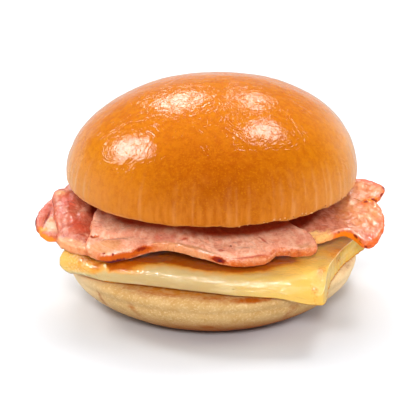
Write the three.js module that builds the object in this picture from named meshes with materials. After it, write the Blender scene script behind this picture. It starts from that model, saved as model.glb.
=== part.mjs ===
// A breakfast sandwich: a glazed bun with a folded egg and four slices of back bacon.
// Millimetres, +Z up. The origin is the centre of the flat base, and -Y is the front.
import * as THREE from 'three';

// The two halves of the bun, by their widest ring
const CROWN = { radius: 52.5, ring: 48.5, rise: 34.5, lip: 3.5 };
const HEEL = { radius: 53.4, ring: 17.2, depth: 21.9, top: 19.5, brim: 3 };

// The filling lies between the two cut faces
const GAP = 0.35;
const EGG = { floor: HEEL.top + GAP, height: 6.8, roll: 1.7, roundness: 5, droop: 2.6, groove: 1.3 };
const BACON = { thickness: 3.2, crest: 41.1, softness: 1.2, drapeReach: 6 };

// How finely each piece is faceted
const BUN_COLUMNS = 54;
const EGG_COLUMNS = 66;
const BACON_COLUMNS = 50;

// Outlines seen from above, counter-clockwise, through the few points that give each its shape
const EGG_SIDES = [
  [52, 26.5], [20, 36.5], [-20, 46.4], [-29, 46], [-34, 40], [-43, 8], [-50, -15], [-53.6, -26],
  [-51, -30.5], [-39, -35.8], [-25, -39.5], [-11, -43.8], [0, -47], [10, -49.6], [24, -51.4],
  [34, -51.2],
];
const EGG_END = [
  [38.4, -50.2], [40.2, -42], [42.2, -34], [47, -20.5], [52, -11], [56.6, -2], [58.4, 11], [57.4, 22],
];
const EGG_CENTRE = [3, -3];

const LEFT_END_OUTLINE = [
  [-59, 0.8], [-62.6, -5], [-64, -10.4], [-62, -16.2], [-57.5, -19.4], [-50, -18], [-36, -16],
  [-18, -8], [-4, 10], [-2, 32], [-7, 46], [-17, 49.5], [-27, 47], [-37, 47.5], [-44, 40], [-46, 28],
  [-50.5, 19], [-51, 8],
];
const LEFT_OUTLINE = [
  [-52.6, 3.6], [-53.6, 1], [-56.4, 0.4], [-57.7, -3], [-57, -9], [-56.2, -15], [-54.3, -21.7],
  [-54.8, -26], [-52.6, -29.2], [-44.6, -32.5], [-34, -33], [-20, -29], [-10, -18], [-10, -5],
  [-18, 7], [-32, 13], [-45, 12],
];
const FRONT_OUTLINE = [
  [-42.6, -29], [-43.9, -34], [-42.6, -37.6], [-36.3, -40.4], [-29.4, -38.3], [-18, -34.9],
  [-4, -39.2], [9.7, -42.1], [19.5, -40], [23.4, -36.1], [35, -35.6], [36.5, -32], [34.2, -27.5],
  [27.7, -21.8], [22, -12], [10, -5.5], [-10, -4.5], [-30, -7], [-39.6, -13], [-42.6, -22],
];
const RIGHT_OUTLINE = [
  [28, -22.5], [37, -22.5], [45.5, -20], [50, -21], [54.4, -24.6], [58.4, -23.4], [61.6, -16.6],
  [61.6, -9], [59.8, -5.4], [56, -4.2], [60.4, -2.9], [63.7, 2.6], [58.5, 6.8], [53.3, 8.4],
  [49.5, 14], [51, 24], [46, 33], [42, 42], [31, 44], [22, 50], [8, 51], [-5, 44], [-8, 28], [-5, 8],
  [3, -10], [14, -19],
];
const RIGHT_TIPS = [[56, -4.2], [63.7, 2.6]];

const TURN = Math.PI * 2;

function ease(from, to, value) {
  const t = THREE.MathUtils.clamp((value - from) / (to - from), 0, 1);
  return t * t * (3 - 2 * t);
}

function bump(value, middle, width) {
  return Math.exp(-(((value - middle) / width) ** 2));
}

// The lowest of several heights, with the edge between them rounded off
function softLowest(heights, softness) {
  const sum = heights.reduce((total, height) => total + Math.exp(-height / softness), 0);
  return -softness * Math.log(sum);
}

// A closed solid of rings between two poles: over the top, down the side and in along the base
function ringSolid(topPole, rings, basePole) {
  const columns = rings[0].length;
  const points = [topPole, ...rings.flat(), basePole];
  const last = points.length - 1;
  const corner = (row, column) => 1 + row * columns + (column % columns);
  const faces = [];
  for (let column = 0; column < columns; column += 1) {
    faces.push(0, corner(0, column), corner(0, column + 1));
    for (let row = 0; row + 1 < rings.length; row += 1) {
      const a = corner(row, column);
      const b = corner(row, column + 1);
      const c = corner(row + 1, column + 1);
      const d = corner(row + 1, column);
      faces.push(a, d, c, a, c, b);
    }
    faces.push(corner(rings.length - 1, column), last, corner(rings.length - 1, column + 1));
  }
  const geometry = new THREE.BufferGeometry();
  const positions = points.flatMap((point) => [point.x, point.y, point.z]);
  geometry.setAttribute('position', new THREE.Float32BufferAttribute(positions, 3));
  geometry.setIndex(faces);
  geometry.computeVertexNormals();
  return geometry;
}

// Evenly spaced points on a closed outline, with one moved onto each sharp corner
function rimPoints(outline, count, sharp = []) {
  const controls = outline.map(([x, y]) => new THREE.Vector3(x, y, 0));
  const curve = new THREE.CatmullRomCurve3(controls, true, 'catmullrom', 0.5);
  const rim = curve.getSpacedPoints(count).slice(0, count);
  for (const [x, y] of sharp) {
    const corner = new THREE.Vector3(x, y, 0);
    const distances = rim.map((point) => point.distanceTo(corner));
    rim[distances.indexOf(Math.min(...distances))].copy(corner);
  }
  return rim;
}

// How far a place lies inside an outline, negative outside it
function depthInside(rim, x, y) {
  const place = new THREE.Vector3(x, y, 0);
  const nearest = new THREE.Vector3();
  const side = new THREE.Line3();
  let inside = false;
  let distance = Infinity;
  rim.forEach((end, index) => {
    const start = rim[(index + rim.length - 1) % rim.length];
    side.set(start, end).closestPointToPoint(place, true, nearest);
    distance = Math.min(distance, nearest.distanceTo(place));
    const crosses = (start.y > y) !== (end.y > y);
    if (crosses && x < start.x + ((y - start.y) * (end.x - start.x)) / (end.y - start.y)) {
      inside = !inside;
    }
  });
  return inside ? distance : -distance;
}

// The crown is fuller on its right shoulder, with its top a little right of the middle
function crownPoint(angle, r, z) {
  const up = Math.max(0, z - CROWN.ring) / CROWN.rise;
  const swell = Math.sin(Math.PI * up);
  const shoulder = swell * up * bump(Math.cos(angle), 1, 0.9);
  const lumps = 0.25 * Math.sin(3 * angle + 1.1) + 0.18 * Math.sin(5 * angle + 4);
  const radius = r + (r / CROWN.radius) * (0.5 * swell + 1.6 * shoulder + lumps * (0.2 + up));
  const x = radius * Math.cos(angle) + 2 * up * up;
  return new THREE.Vector3(x, radius * Math.sin(angle), z + 1.1 * shoulder);
}

// The torn edge of the crown's cut is uneven, most of all at the front right
function tornEdge(angle) {
  const frontRight = bump(Math.cos(angle + 0.9), 1, 0.5);
  const teeth = Math.sin(23 * angle) * Math.sin(9 * angle + 2);
  return (0.15 + 0.45 * frontRight) * (1 + teeth);
}

function crownGeometry() {
  const cut = CROWN.ring - CROWN.lip;
  const profile = [];
  for (let row = 1; row <= 13; row += 1) {
    const t = (row / 13) * (Math.PI / 2);
    profile.push([CROWN.radius * Math.sin(t), CROWN.ring + CROWN.rise * Math.cos(t), 0]);
  }
  for (let row = 1; row <= 3; row += 1) {
    const t = (row / 3) * (Math.PI / 2);
    const r = CROWN.radius - CROWN.lip * (1 - Math.cos(t));
    profile.push([r, CROWN.ring - CROWN.lip * Math.sin(t), t / (Math.PI / 2)]);
  }
  profile.push([0.6 * CROWN.radius, cut, 0]);
  const rings = profile.map(([r, z, torn]) => Array.from({ length: BUN_COLUMNS }, (_, column) => {
    const angle = (column / BUN_COLUMNS) * TURN;
    const point = crownPoint(angle, r, z);
    point.z += torn * tornEdge(angle);
    return point;
  }));
  const top = crownPoint(0, 0, CROWN.ring + CROWN.rise);
  return ringSolid(top, rings, new THREE.Vector3(0, 0, cut));
}

// The heel's crust bellies out below its brim, with a shallow crease at the front
function heelPoint(angle, r, z) {
  const below = (HEEL.ring - z) / HEEL.ring;
  const crease = 0.6 * bump(z, HEEL.ring - 3, 1.4) * bump(Math.sin(angle), -1, 0.8);
  const lumps = 0.25 * Math.sin(2 * angle + 2.2) + 0.2 * Math.sin(5 * angle + 2.4) - 0.75;
  const radius = r - crease + lumps * Math.sin(Math.PI * THREE.MathUtils.clamp(below, 0, 1));
  return new THREE.Vector3(radius * Math.cos(angle), radius * Math.sin(angle), z);
}

function heelRadius(z) {
  return HEEL.radius * Math.sqrt(1 - ((HEEL.ring - z) / HEEL.depth) ** 2);
}

function heelGeometry() {
  const inner = HEEL.radius - HEEL.brim;
  const profile = [[0.6 * inner, HEEL.top], [inner, HEEL.top], [HEEL.radius, HEEL.ring]];
  for (const share of [0.9, 0.8, 0.68, 0.55, 0.42, 0.3, 0.19, 0.1, 0.04, 0]) {
    profile.push([heelRadius(share * HEEL.ring), share * HEEL.ring]);
  }
  profile.push([0.5 * heelRadius(0), 0]);
  const rings = profile.map(([r, z]) => Array.from({ length: BUN_COLUMNS }, (_, column) => (
    heelPoint((column / BUN_COLUMNS) * TURN, r, z))));
  return ringSolid(new THREE.Vector3(0, 0, HEEL.top), rings, new THREE.Vector3(0, 0, 0));
}

// A sheet of food: the outline drawn in towards a centre, between an upper and a lower surface
function sheetSolid(rim, [cx, cy], { topShares, floorShares, top, floor, edge }) {
  const inward = (point, inset) => 1 - inset / Math.hypot(point.x - cx, point.y - cy);
  const place = (point, share) => [cx + (point.x - cx) * share, cy + (point.y - cy) * share];
  const flat = (share, height) => rim.map((point) => {
    const [x, y] = place(point, share);
    return new THREE.Vector3(x, y, height(x, y));
  });
  const rings = topShares.map((share) => flat(share, top));
  for (const step of edge) {
    rings.push(rim.map((point) => {
      const { inset, rise } = step(point);
      const [x, y] = place(point, inward(point, inset));
      return new THREE.Vector3(x, y, THREE.MathUtils.lerp(floor(x, y), top(x, y), rise));
    }));
  }
  [...floorShares].reverse().forEach((share) => rings.push(flat(share, floor)));
  const pole = (height) => new THREE.Vector3(cx, cy, height(cx, cy));
  return ringSolid(pole(top), rings, pole(floor));
}

// The egg droops over the bun's edge at its front right corner
function eggFloor(x, y) {
  const over = ease(HEEL.radius + 1, HEEL.radius + 8, Math.hypot(x, y));
  return EGG.floor - EGG.droop * over * ease(10, 36, x) * ease(5, -30, y);
}

// Its folded sides are round, and its left end is folded over into a thicker roll
const eggRim = rimPoints([...EGG_SIDES, ...EGG_END], EGG_COLUMNS, [EGG_END[0], EGG_END.at(-1)]);
const eggSleeve = rimPoints([...EGG_SIDES, ...EGG_END.map(([x, y]) => [x + 15, y])], EGG_COLUMNS);

function eggTop(x, y) {
  const depth = THREE.MathUtils.clamp(depthInside(eggSleeve, x, y) / EGG.roundness, 0, 1);
  const side = 0.34 + 0.66 * Math.sqrt(1 - (1 - depth) ** 2);
  const roll = EGG.roll * ease(-38, -47, x) * ease(-8, -22, y);
  const thinner = 0.6 * ease(20, 45, x);
  const swell = 0.35 * Math.sin(x / 9 + 1) * Math.sin(y / 11 + 2);
  return eggFloor(x, y) + side * (EGG.height + roll - thinner + swell);
}

// The right end is cut straight across, with a groove between its two layers
function eggEdge(rise, grooved, inset) {
  return (point) => {
    const cut = ease(35, 40, point.x) * ease(27, 20, point.y);
    return { inset: inset + grooved * cut * EGG.groove, rise };
  };
}

function eggGeometry() {
  return sheetSolid(eggRim, EGG_CENTRE, {
    topShares: [0.35, 0.62, 0.8, 0.88, 0.93, 0.97, 1],
    floorShares: [0.3, 0.62, 0.85],
    top: eggTop,
    floor: eggFloor,
    edge: [
      eggEdge(0.78, 0, 0), eggEdge(0.6, 1, 0), eggEdge(0.42, 1, 0), eggEdge(0.24, 0, 0.1),
      eggEdge(0, 0.5, 1),
    ],
  });
}

// A slice of bacon rests on what is under it, and elsewhere follows its own slope
function baconSlice(outline, centre, slope, supports, sharp = []) {
  const rim = rimPoints(outline, BACON_COLUMNS, sharp);
  const floor = (x, y) => {
    const own = slope(x, y);
    const lifts = supports.map((support) => {
      const near = ease(-BACON.drapeReach, -1, depthInside(support.rim, x, y));
      return near * Math.max(0, support.top(x, y) + GAP - own);
    });
    return own + Math.max(...lifts);
  };
  const top = (x, y) => floor(x, y) + BACON.thickness;
  const step = (inset, rise) => () => ({ inset, rise });
  const geometry = sheetSolid(rim, centre, {
    topShares: [0.25, 0.5, 0.7, 0.86],
    floorShares: [0.25, 0.5, 0.7, 0.86],
    top,
    floor,
    edge: [step(0.9, 1), step(0.15, 0.82), step(0, 0.35), step(0.7, 0)],
  });
  return { rim, top, geometry };
}

// The hollow behind the front slice's fold, which sags onto the slice below
function hollow(x, y) {
  return 1.6 * bump(x, -34, 9) * bump(y, -20, 6);
}

function leftEndSlope(x, y) {
  const backWave = 2.6 * Math.sin(x / 4.6 + 1) * ease(22, 44, y);
  const tuckedUnder = 3.5 * ease(-20, -6, x) * ease(0, 14, y);
  const own = softLowest([34.2 + 0.33 * y, 38, 48.5 - 0.42 * y + backWave], BACON.softness);
  return own - tuckedUnder;
}

function leftSlope(x, y) {
  return softLowest([38.6 + 0.33 * y - hollow(x, y), BACON.crest, 46.5 - 0.4 * y], BACON.softness);
}

// The front edge of this slice rises in one wave left of the middle
function frontSlope(x, y) {
  const wave = 2.2 * bump(x, -12, 10) + 0.5 * bump(x, -38, 8) - 0.6 * bump(x, 30, 12);
  const rise = 27.8 + wave + 0.36 * (y + 41) - hollow(x, y);
  return softLowest([rise, BACON.crest], BACON.softness);
}

// The right slice arches up from the egg at its front edge
function rightSlope(x, y) {
  const arch = 2.2 * bump(x, 48, 5) * ease(-8, -20, y);
  const backWave = 2.8 * Math.sin(x / 5.2 + 2.5) * ease(20, 42, y);
  const rise = 37.1 + 0.4 * y + arch;
  return softLowest([rise, BACON.crest, 51 - 0.46 * y + backWave], BACON.softness);
}

const egg = { rim: eggRim, top: eggTop };
const leftEnd = baconSlice(LEFT_END_OUTLINE, [-40, -2], leftEndSlope, [egg]);
const right = baconSlice(RIGHT_OUTLINE, [32, 3], rightSlope, [egg, leftEnd], RIGHT_TIPS);
const left = baconSlice(LEFT_OUTLINE, [-34, -10], leftSlope, [egg, leftEnd, right]);
const front = baconSlice(FRONT_OUTLINE, [-4, -23], frontSlope, [egg, left, right]);

function mesh(name, geometry, color, roughness) {
  const material = new THREE.MeshStandardMaterial({ color, roughness, metalness: 0 });
  const piece = new THREE.Mesh(geometry, material);
  piece.name = name;
  return piece;
}

const group = new THREE.Group();
group.add(mesh('heel', heelGeometry(), '#deb57c', 0.75));
group.add(mesh('egg', eggGeometry(), '#f3d382', 0.45));
group.add(mesh('bacon_left_end', leftEnd.geometry, '#e2795c', 0.45));
group.add(mesh('bacon_right', right.geometry, '#e48a5c', 0.45));
group.add(mesh('bacon_left', left.geometry, '#d9745a', 0.45));
group.add(mesh('bacon_front', front.geometry, '#dd866d', 0.45));
group.add(mesh('crown', crownGeometry(), '#dd7614', 0.25));

export default group;
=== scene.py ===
"""The looks of a breakfast sandwich: a glazed bun, a folded egg and four slices of back bacon.

Sizes are in millimetres and become metres when a mesh is made. +Z is up and -Y is the front.
"""

import logging
import math
from collections.abc import Callable, Sequence
from dataclasses import dataclass
from enum import Enum
from typing import Any

import bpy
import numpy as np
from bpy.types import Collection, Material, Node, NodesModifier, NodeSocket, NodeTree, Object
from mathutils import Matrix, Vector


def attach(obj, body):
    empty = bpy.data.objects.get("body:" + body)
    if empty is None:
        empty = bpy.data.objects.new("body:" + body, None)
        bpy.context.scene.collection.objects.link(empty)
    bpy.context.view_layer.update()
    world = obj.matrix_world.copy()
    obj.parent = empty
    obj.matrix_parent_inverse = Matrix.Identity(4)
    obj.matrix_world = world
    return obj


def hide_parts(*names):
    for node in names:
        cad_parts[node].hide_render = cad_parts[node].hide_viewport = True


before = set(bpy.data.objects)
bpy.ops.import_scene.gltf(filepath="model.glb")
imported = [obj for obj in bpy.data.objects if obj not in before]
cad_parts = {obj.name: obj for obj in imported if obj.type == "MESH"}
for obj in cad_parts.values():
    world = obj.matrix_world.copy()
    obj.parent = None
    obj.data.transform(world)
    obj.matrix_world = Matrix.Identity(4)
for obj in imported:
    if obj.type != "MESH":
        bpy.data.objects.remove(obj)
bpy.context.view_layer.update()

log = logging.getLogger("breakfast_sandwich")

Field = np.ndarray
Height = Callable[[Field, Field], Field]
Outline = Sequence[tuple[float, float]]
Value = Node | NodeSocket | float

MM = 0.001  # metres in a millimetre
TURN = 2 * math.pi
QUARTER = math.pi / 2
GAP = 0.35  # between a slice and what it lies on, in mm
RIDGE_DRIFT = 0.07  # how far the lines along a rim wander for each mm of the surface
BODY = "root"


def ease(start: float, end: float, value: Field) -> Field:
    """Rises smoothly from 0 at start to 1 at end, and may run backwards."""
    share = np.clip((value - start) / (end - start), 0, 1)
    return share * share * (3 - 2 * share)


def bump(value: Field, middle: float, width: float) -> Field:
    """A bell of height 1 round the middle."""
    return np.exp(-(((value - middle) / width) ** 2))


def soft_lowest(heights: Sequence[Field], softness: float) -> Field:
    """The lowest of several heights, with the edge between them rounded over softness mm."""
    return -softness * np.log(sum(np.exp(-height / softness) for height in heights))


def linear(hex_code: str) -> tuple[float, float, float, float]:
    """The linear colour of an sRGB hex value.

    Args:
        hex_code: six digits after a hash sign.

    Returns:
        Red, green, blue and an alpha of 1.
    """
    shares = [int(hex_code[i : i + 2], 16) / 255 for i in (1, 3, 5)]
    red, green, blue = (s / 12.92 if s <= 0.04045 else ((s + 0.055) / 1.055) ** 2.4 for s in shares)
    return (red, green, blue, 1.0)


def add_node(tree: NodeTree, kind: str, inputs: dict[str | int, Any] | None = None,
             **settings: Any) -> Node:
    """Adds a node with its settings, and links or sets its inputs.

    Args:
        tree: the tree that the node goes into.
        kind: the node's type name.
        inputs: for each input, by name or number, a value, the socket to link from, or a node
            whose first output is linked.
        settings: properties of the node itself.

    Returns:
        The new node.
    """
    node = tree.nodes.new(kind)
    for name, value in settings.items():
        setattr(node, name, value)
    for socket, value in (inputs or {}).items():
        source = value.outputs[0] if isinstance(value, Node) else value
        if isinstance(source, NodeSocket):
            tree.links.new(source, node.inputs[socket])
        else:
            node.inputs[socket].default_value = source
    return node


def along_rim(tree: NodeTree, depth: Value, place: Value) -> Node:
    """Coordinates in which noise turns into lines that follow a rim.

    Args:
        tree: the tree that the nodes go into.
        depth: how far inside the rim a place lies, in mm.
        place: its position, in mm.

    Returns:
        The node that gives the coordinates.
    """
    inward = add_node(tree, "ShaderNodeCombineXYZ", {"X": depth})
    drift = add_node(tree, "ShaderNodeVectorMath", {0: place, "Scale": RIDGE_DRIFT},
                     operation="SCALE")
    return add_node(tree, "ShaderNodeVectorMath", {0: inward, 1: drift}, operation="ADD")


class Rim:
    """A closed outline seen from above, as evenly spaced points on a smooth curve."""

    STEPS = 60

    def __init__(self, outline: Outline, count: int, sharp: Outline = ()) -> None:
        """Draws the curve through the outline.

        Args:
            outline: the points that the curve passes through, counter-clockwise.
            count: how many evenly spaced points it gets.
            sharp: corners onto which the nearest point is moved.
        """
        knots = np.array(outline, float)
        before, after = np.roll(knots, 1, 0), np.roll(knots, -1, 0)
        beyond = np.roll(knots, -2, 0)
        t = (np.arange(self.STEPS) / self.STEPS)[None, :, None]
        start, end = knots[:, None], after[:, None]
        leave, arrive = (after - before)[:, None] / 2, (beyond - knots)[:, None] / 2
        curve = (
            (2 * t**3 - 3 * t**2 + 1) * start + (t**3 - 2 * t**2 + t) * leave
            + (3 * t**2 - 2 * t**3) * end + (t**3 - t**2) * arrive
        ).reshape(-1, 2)
        closed = np.vstack([curve, curve[:1]])
        travelled = np.r_[0, np.cumsum(np.hypot(*np.diff(closed, axis=0).T))]
        places = np.arange(count) / count * travelled[-1]
        self.points = np.stack([np.interp(places, travelled, closed[:, i]) for i in (0, 1)], -1)
        self.length = float(travelled[-1])
        for corner in sharp:
            nearest = np.hypot(*(self.points - corner).T).argmin()
            self.points[nearest] = corner

    def depth(self, x: Field, y: Field) -> Field:
        """How far places lie inside the outline, negative outside it.

        Args:
            x: the places' x, in mm.
            y: the places' y, in mm.

        Returns:
            The signed distances, in mm.
        """
        shape = np.shape(x)
        px, py = np.ravel(x), np.ravel(y)
        nearest = np.full(px.shape, np.inf)
        inside = np.zeros(px.shape, bool)
        for (ax, ay), (bx, by) in zip(np.roll(self.points, 1, 0), self.points):
            along = np.clip(((px - ax) * (bx - ax) + (py - ay) * (by - ay))
                            / ((bx - ax) ** 2 + (by - ay) ** 2), 0, 1)
            gap = np.hypot(px - ax - along * (bx - ax), py - ay - along * (by - ay))
            nearest = np.minimum(nearest, gap)
            if ay != by:
                crosses = (ay > py) != (by > py)
                inside ^= crosses & (px < ax + (py - ay) * (bx - ax) / (by - ay))
        return np.where(inside, nearest, -nearest).reshape(shape)


def wobble(count: int, length: float, shortest: float, longest: float, seed: int) -> Field:
    """An uneven wave round a closed rim, as torn or cut food has.

    Args:
        count: how many points the rim has.
        length: the rim's length, in mm.
        shortest: the shortest wave, in mm.
        longest: the longest wave, in mm.
        seed: fixes the waves' phases.

    Returns:
        A value for each point, mostly between -1 and 1.
    """
    draw = np.random.default_rng(seed)
    turns = np.arange(max(1, round(length / longest)), round(length / shortest) + 1)
    phases = draw.uniform(0, TURN, len(turns))
    sizes = draw.uniform(0.4, 1, len(turns))
    angles = np.arange(count)[:, None] / count * TURN
    waves = (sizes * np.sin(angles * turns + phases)).sum(1)
    return waves / np.abs(waves).max()


class Mark(Enum):
    """What a dab does to a piece.

    The last three shape it. Each of the others colours it, and its value is the name of the
    mesh attribute that the finish reads.
    """

    FAT = "fat"
    AMBER = "amber"
    ROSE = "rose"
    TAN = "tan"
    CHAR = "char"
    PLUM = "plum"
    BROWN = "brown"
    # Painted glints, highlights and sheen.
    PAINTED_GLINT = "pale"
    SHADE = "shade"
    DENT = "dent"
    BULGE = "bulge"
    TAPER = "taper"


@dataclass(frozen=True)
class Dab:
    """A soft-edged oval mark on a piece, seen from above.

    Attributes:
        mark: what it puts there.
        at: its middle, in mm.
        reach: its half lengths along and across, in mm.
        turn: how far its length is turned from +X, in degrees.
        strength: its value in the middle.
        level: the share of the piece's thickness at which it lies, or None for all of it.
    """

    mark: Mark
    at: tuple[float, float]
    reach: tuple[float, float]
    turn: float = 0
    strength: float = 1
    level: float | None = None

    def value(self, x: Field, y: Field, rise: Field) -> Field:
        """How strong the mark is at places on the piece.

        Args:
            x: the places' x, in mm.
            y: the places' y, in mm.
            rise: the share of the piece's thickness at which they lie.

        Returns:
            The strengths, which fade out from the middle.
        """
        c, s = math.cos(math.radians(self.turn)), math.sin(math.radians(self.turn))
        dx, dy = x - self.at[0], y - self.at[1]
        along, across = (c * dx + s * dy) / self.reach[0], (c * dy - s * dx) / self.reach[1]
        thick = 0.12 + 0.18 * min(self.reach)
        layer = 1 if self.level is None else bump(rise, self.level, thick)
        return self.strength * np.exp(-(along**2 + across**2)) * layer


def paint(table: dict[Mark, Sequence[tuple[float, ...]]]) -> tuple[Dab, ...]:
    """The dabs of a table whose rows hold x, y, two half lengths, turn, strength and level."""
    return tuple(Dab(mark, (x, y), (along, across), *rest)
                 for mark, rows in table.items() for x, y, along, across, *rest in rows)


def marked(dabs: Sequence[Dab], mark: Mark, x: Field, y: Field, rise: Field) -> Field:
    """The strongest of the dabs of one kind at each place."""
    values = [dab.value(x, y, rise) for dab in dabs if dab.mark is mark]
    return np.max(values, axis=0) if values else np.zeros(np.shape(x))


def humps(dabs: Sequence[Dab], x: Field, y: Field, rise: Field) -> Field:
    """How far the bulges and dents lift each place, in mm."""
    return marked(dabs, Mark.BULGE, x, y, rise) - marked(dabs, Mark.DENT, x, y, rise)


def ring_shell(name: str, rings: Field, poles: tuple[Sequence[float], Sequence[float]],
               attributes: dict[str, Field]) -> Object:
    """A closed shell of rings between an upper and a lower pole.

    Args:
        name: the object's name.
        rings: rows by columns by 3 coordinates, in mm, counter-clockwise seen from above.
        poles: the upper and the lower pole, in mm.
        attributes: named values for the points of the rings, rows by columns or rows by 1.

    Returns:
        The new object, whose place is in its mesh.
    """
    rows, columns, _ = rings.shape
    points = np.vstack([[poles[0]], rings.reshape(-1, 3), [poles[1]]]) * MM
    column = np.arange(columns)
    beside = (column + 1) % columns
    row = 1 + columns * np.arange(rows - 1)[:, None]
    below = row + columns
    quads = np.stack([row + column, below + column, below + beside, row + beside], -1)
    last = 1 + columns * (rows - 1)
    top = np.stack([np.zeros(columns, int), 1 + column, 1 + beside], -1)
    base = np.stack([last + column, np.full(columns, len(points) - 1), last + beside], -1)
    faces = top.tolist() + quads.reshape(-1, 4).tolist() + base.tolist()
    mesh = bpy.data.meshes.new(name)
    mesh.from_pydata(points.tolist(), [], faces)
    mesh.shade_smooth()
    for label, values in attributes.items():
        grid = np.broadcast_to(values, (rows, columns))
        spread = np.r_[grid[0].mean(), grid.ravel(), grid[-1].mean()].astype(np.float32)
        mesh.attributes.new(label, "FLOAT", "POINT").data.foreach_set("value", spread)
    shell = bpy.data.objects.new(name, mesh)
    bpy.context.scene.collection.objects.link(shell)
    return shell


def set_inputs(modifier: NodesModifier, values: dict[str, Any]) -> None:
    """Sets a Geometry Nodes modifier's inputs by the identifiers that their names have.

    Args:
        modifier: the modifier, whose group is set.
        values: a value for each named input.
    """
    for item in modifier.node_group.interface.items_tree:
        if item.item_type == "SOCKET" and item.in_out == "INPUT" and item.name in values:
            modifier[item.identifier] = values[item.name]


def through_nodes(source: Object, group: NodeTree, values: dict[str, Any],
                  name: str, material: Material) -> Object:
    """Runs an object through a Geometry Nodes group and keeps the result as a plain mesh.

    Args:
        source: the object that the group starts from, which stays.
        group: the Geometry Nodes group.
        values: a value for each named input.
        name: the new object's name.
        material: what the group sets on the result.

    Returns:
        The new object.
    """
    modifier = source.modifiers.new(group.name, "NODES")
    modifier.node_group = group
    set_inputs(modifier, values | {"Material": material})
    evaluated = source.evaluated_get(bpy.context.evaluated_depsgraph_get())
    mesh = bpy.data.meshes.new_from_object(evaluated)
    source.modifiers.remove(modifier)
    mesh.name = name
    piece = bpy.data.objects.new(name, mesh)
    bpy.context.scene.collection.objects.link(piece)
    return piece


def new_group(name: str, sockets: Sequence[tuple[str, str, Any]]) -> NodeTree:
    """A Geometry Nodes group with named inputs and one geometry output.

    Args:
        name: the group's name.
        sockets: name, socket type and default value of each input after the geometry.

    Returns:
        The group, still without nodes.
    """
    group = bpy.data.node_groups.new(name, "GeometryNodeTree")
    group.interface.new_socket("Geometry", in_out="INPUT", socket_type="NodeSocketGeometry")
    for label, kind, value in sockets:
        socket = group.interface.new_socket(label, in_out="INPUT", socket_type=kind)
        if value is not None:
            socket.default_value = value
    group.interface.new_socket("Geometry", in_out="OUTPUT", socket_type="NodeSocketGeometry")
    return group


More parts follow.
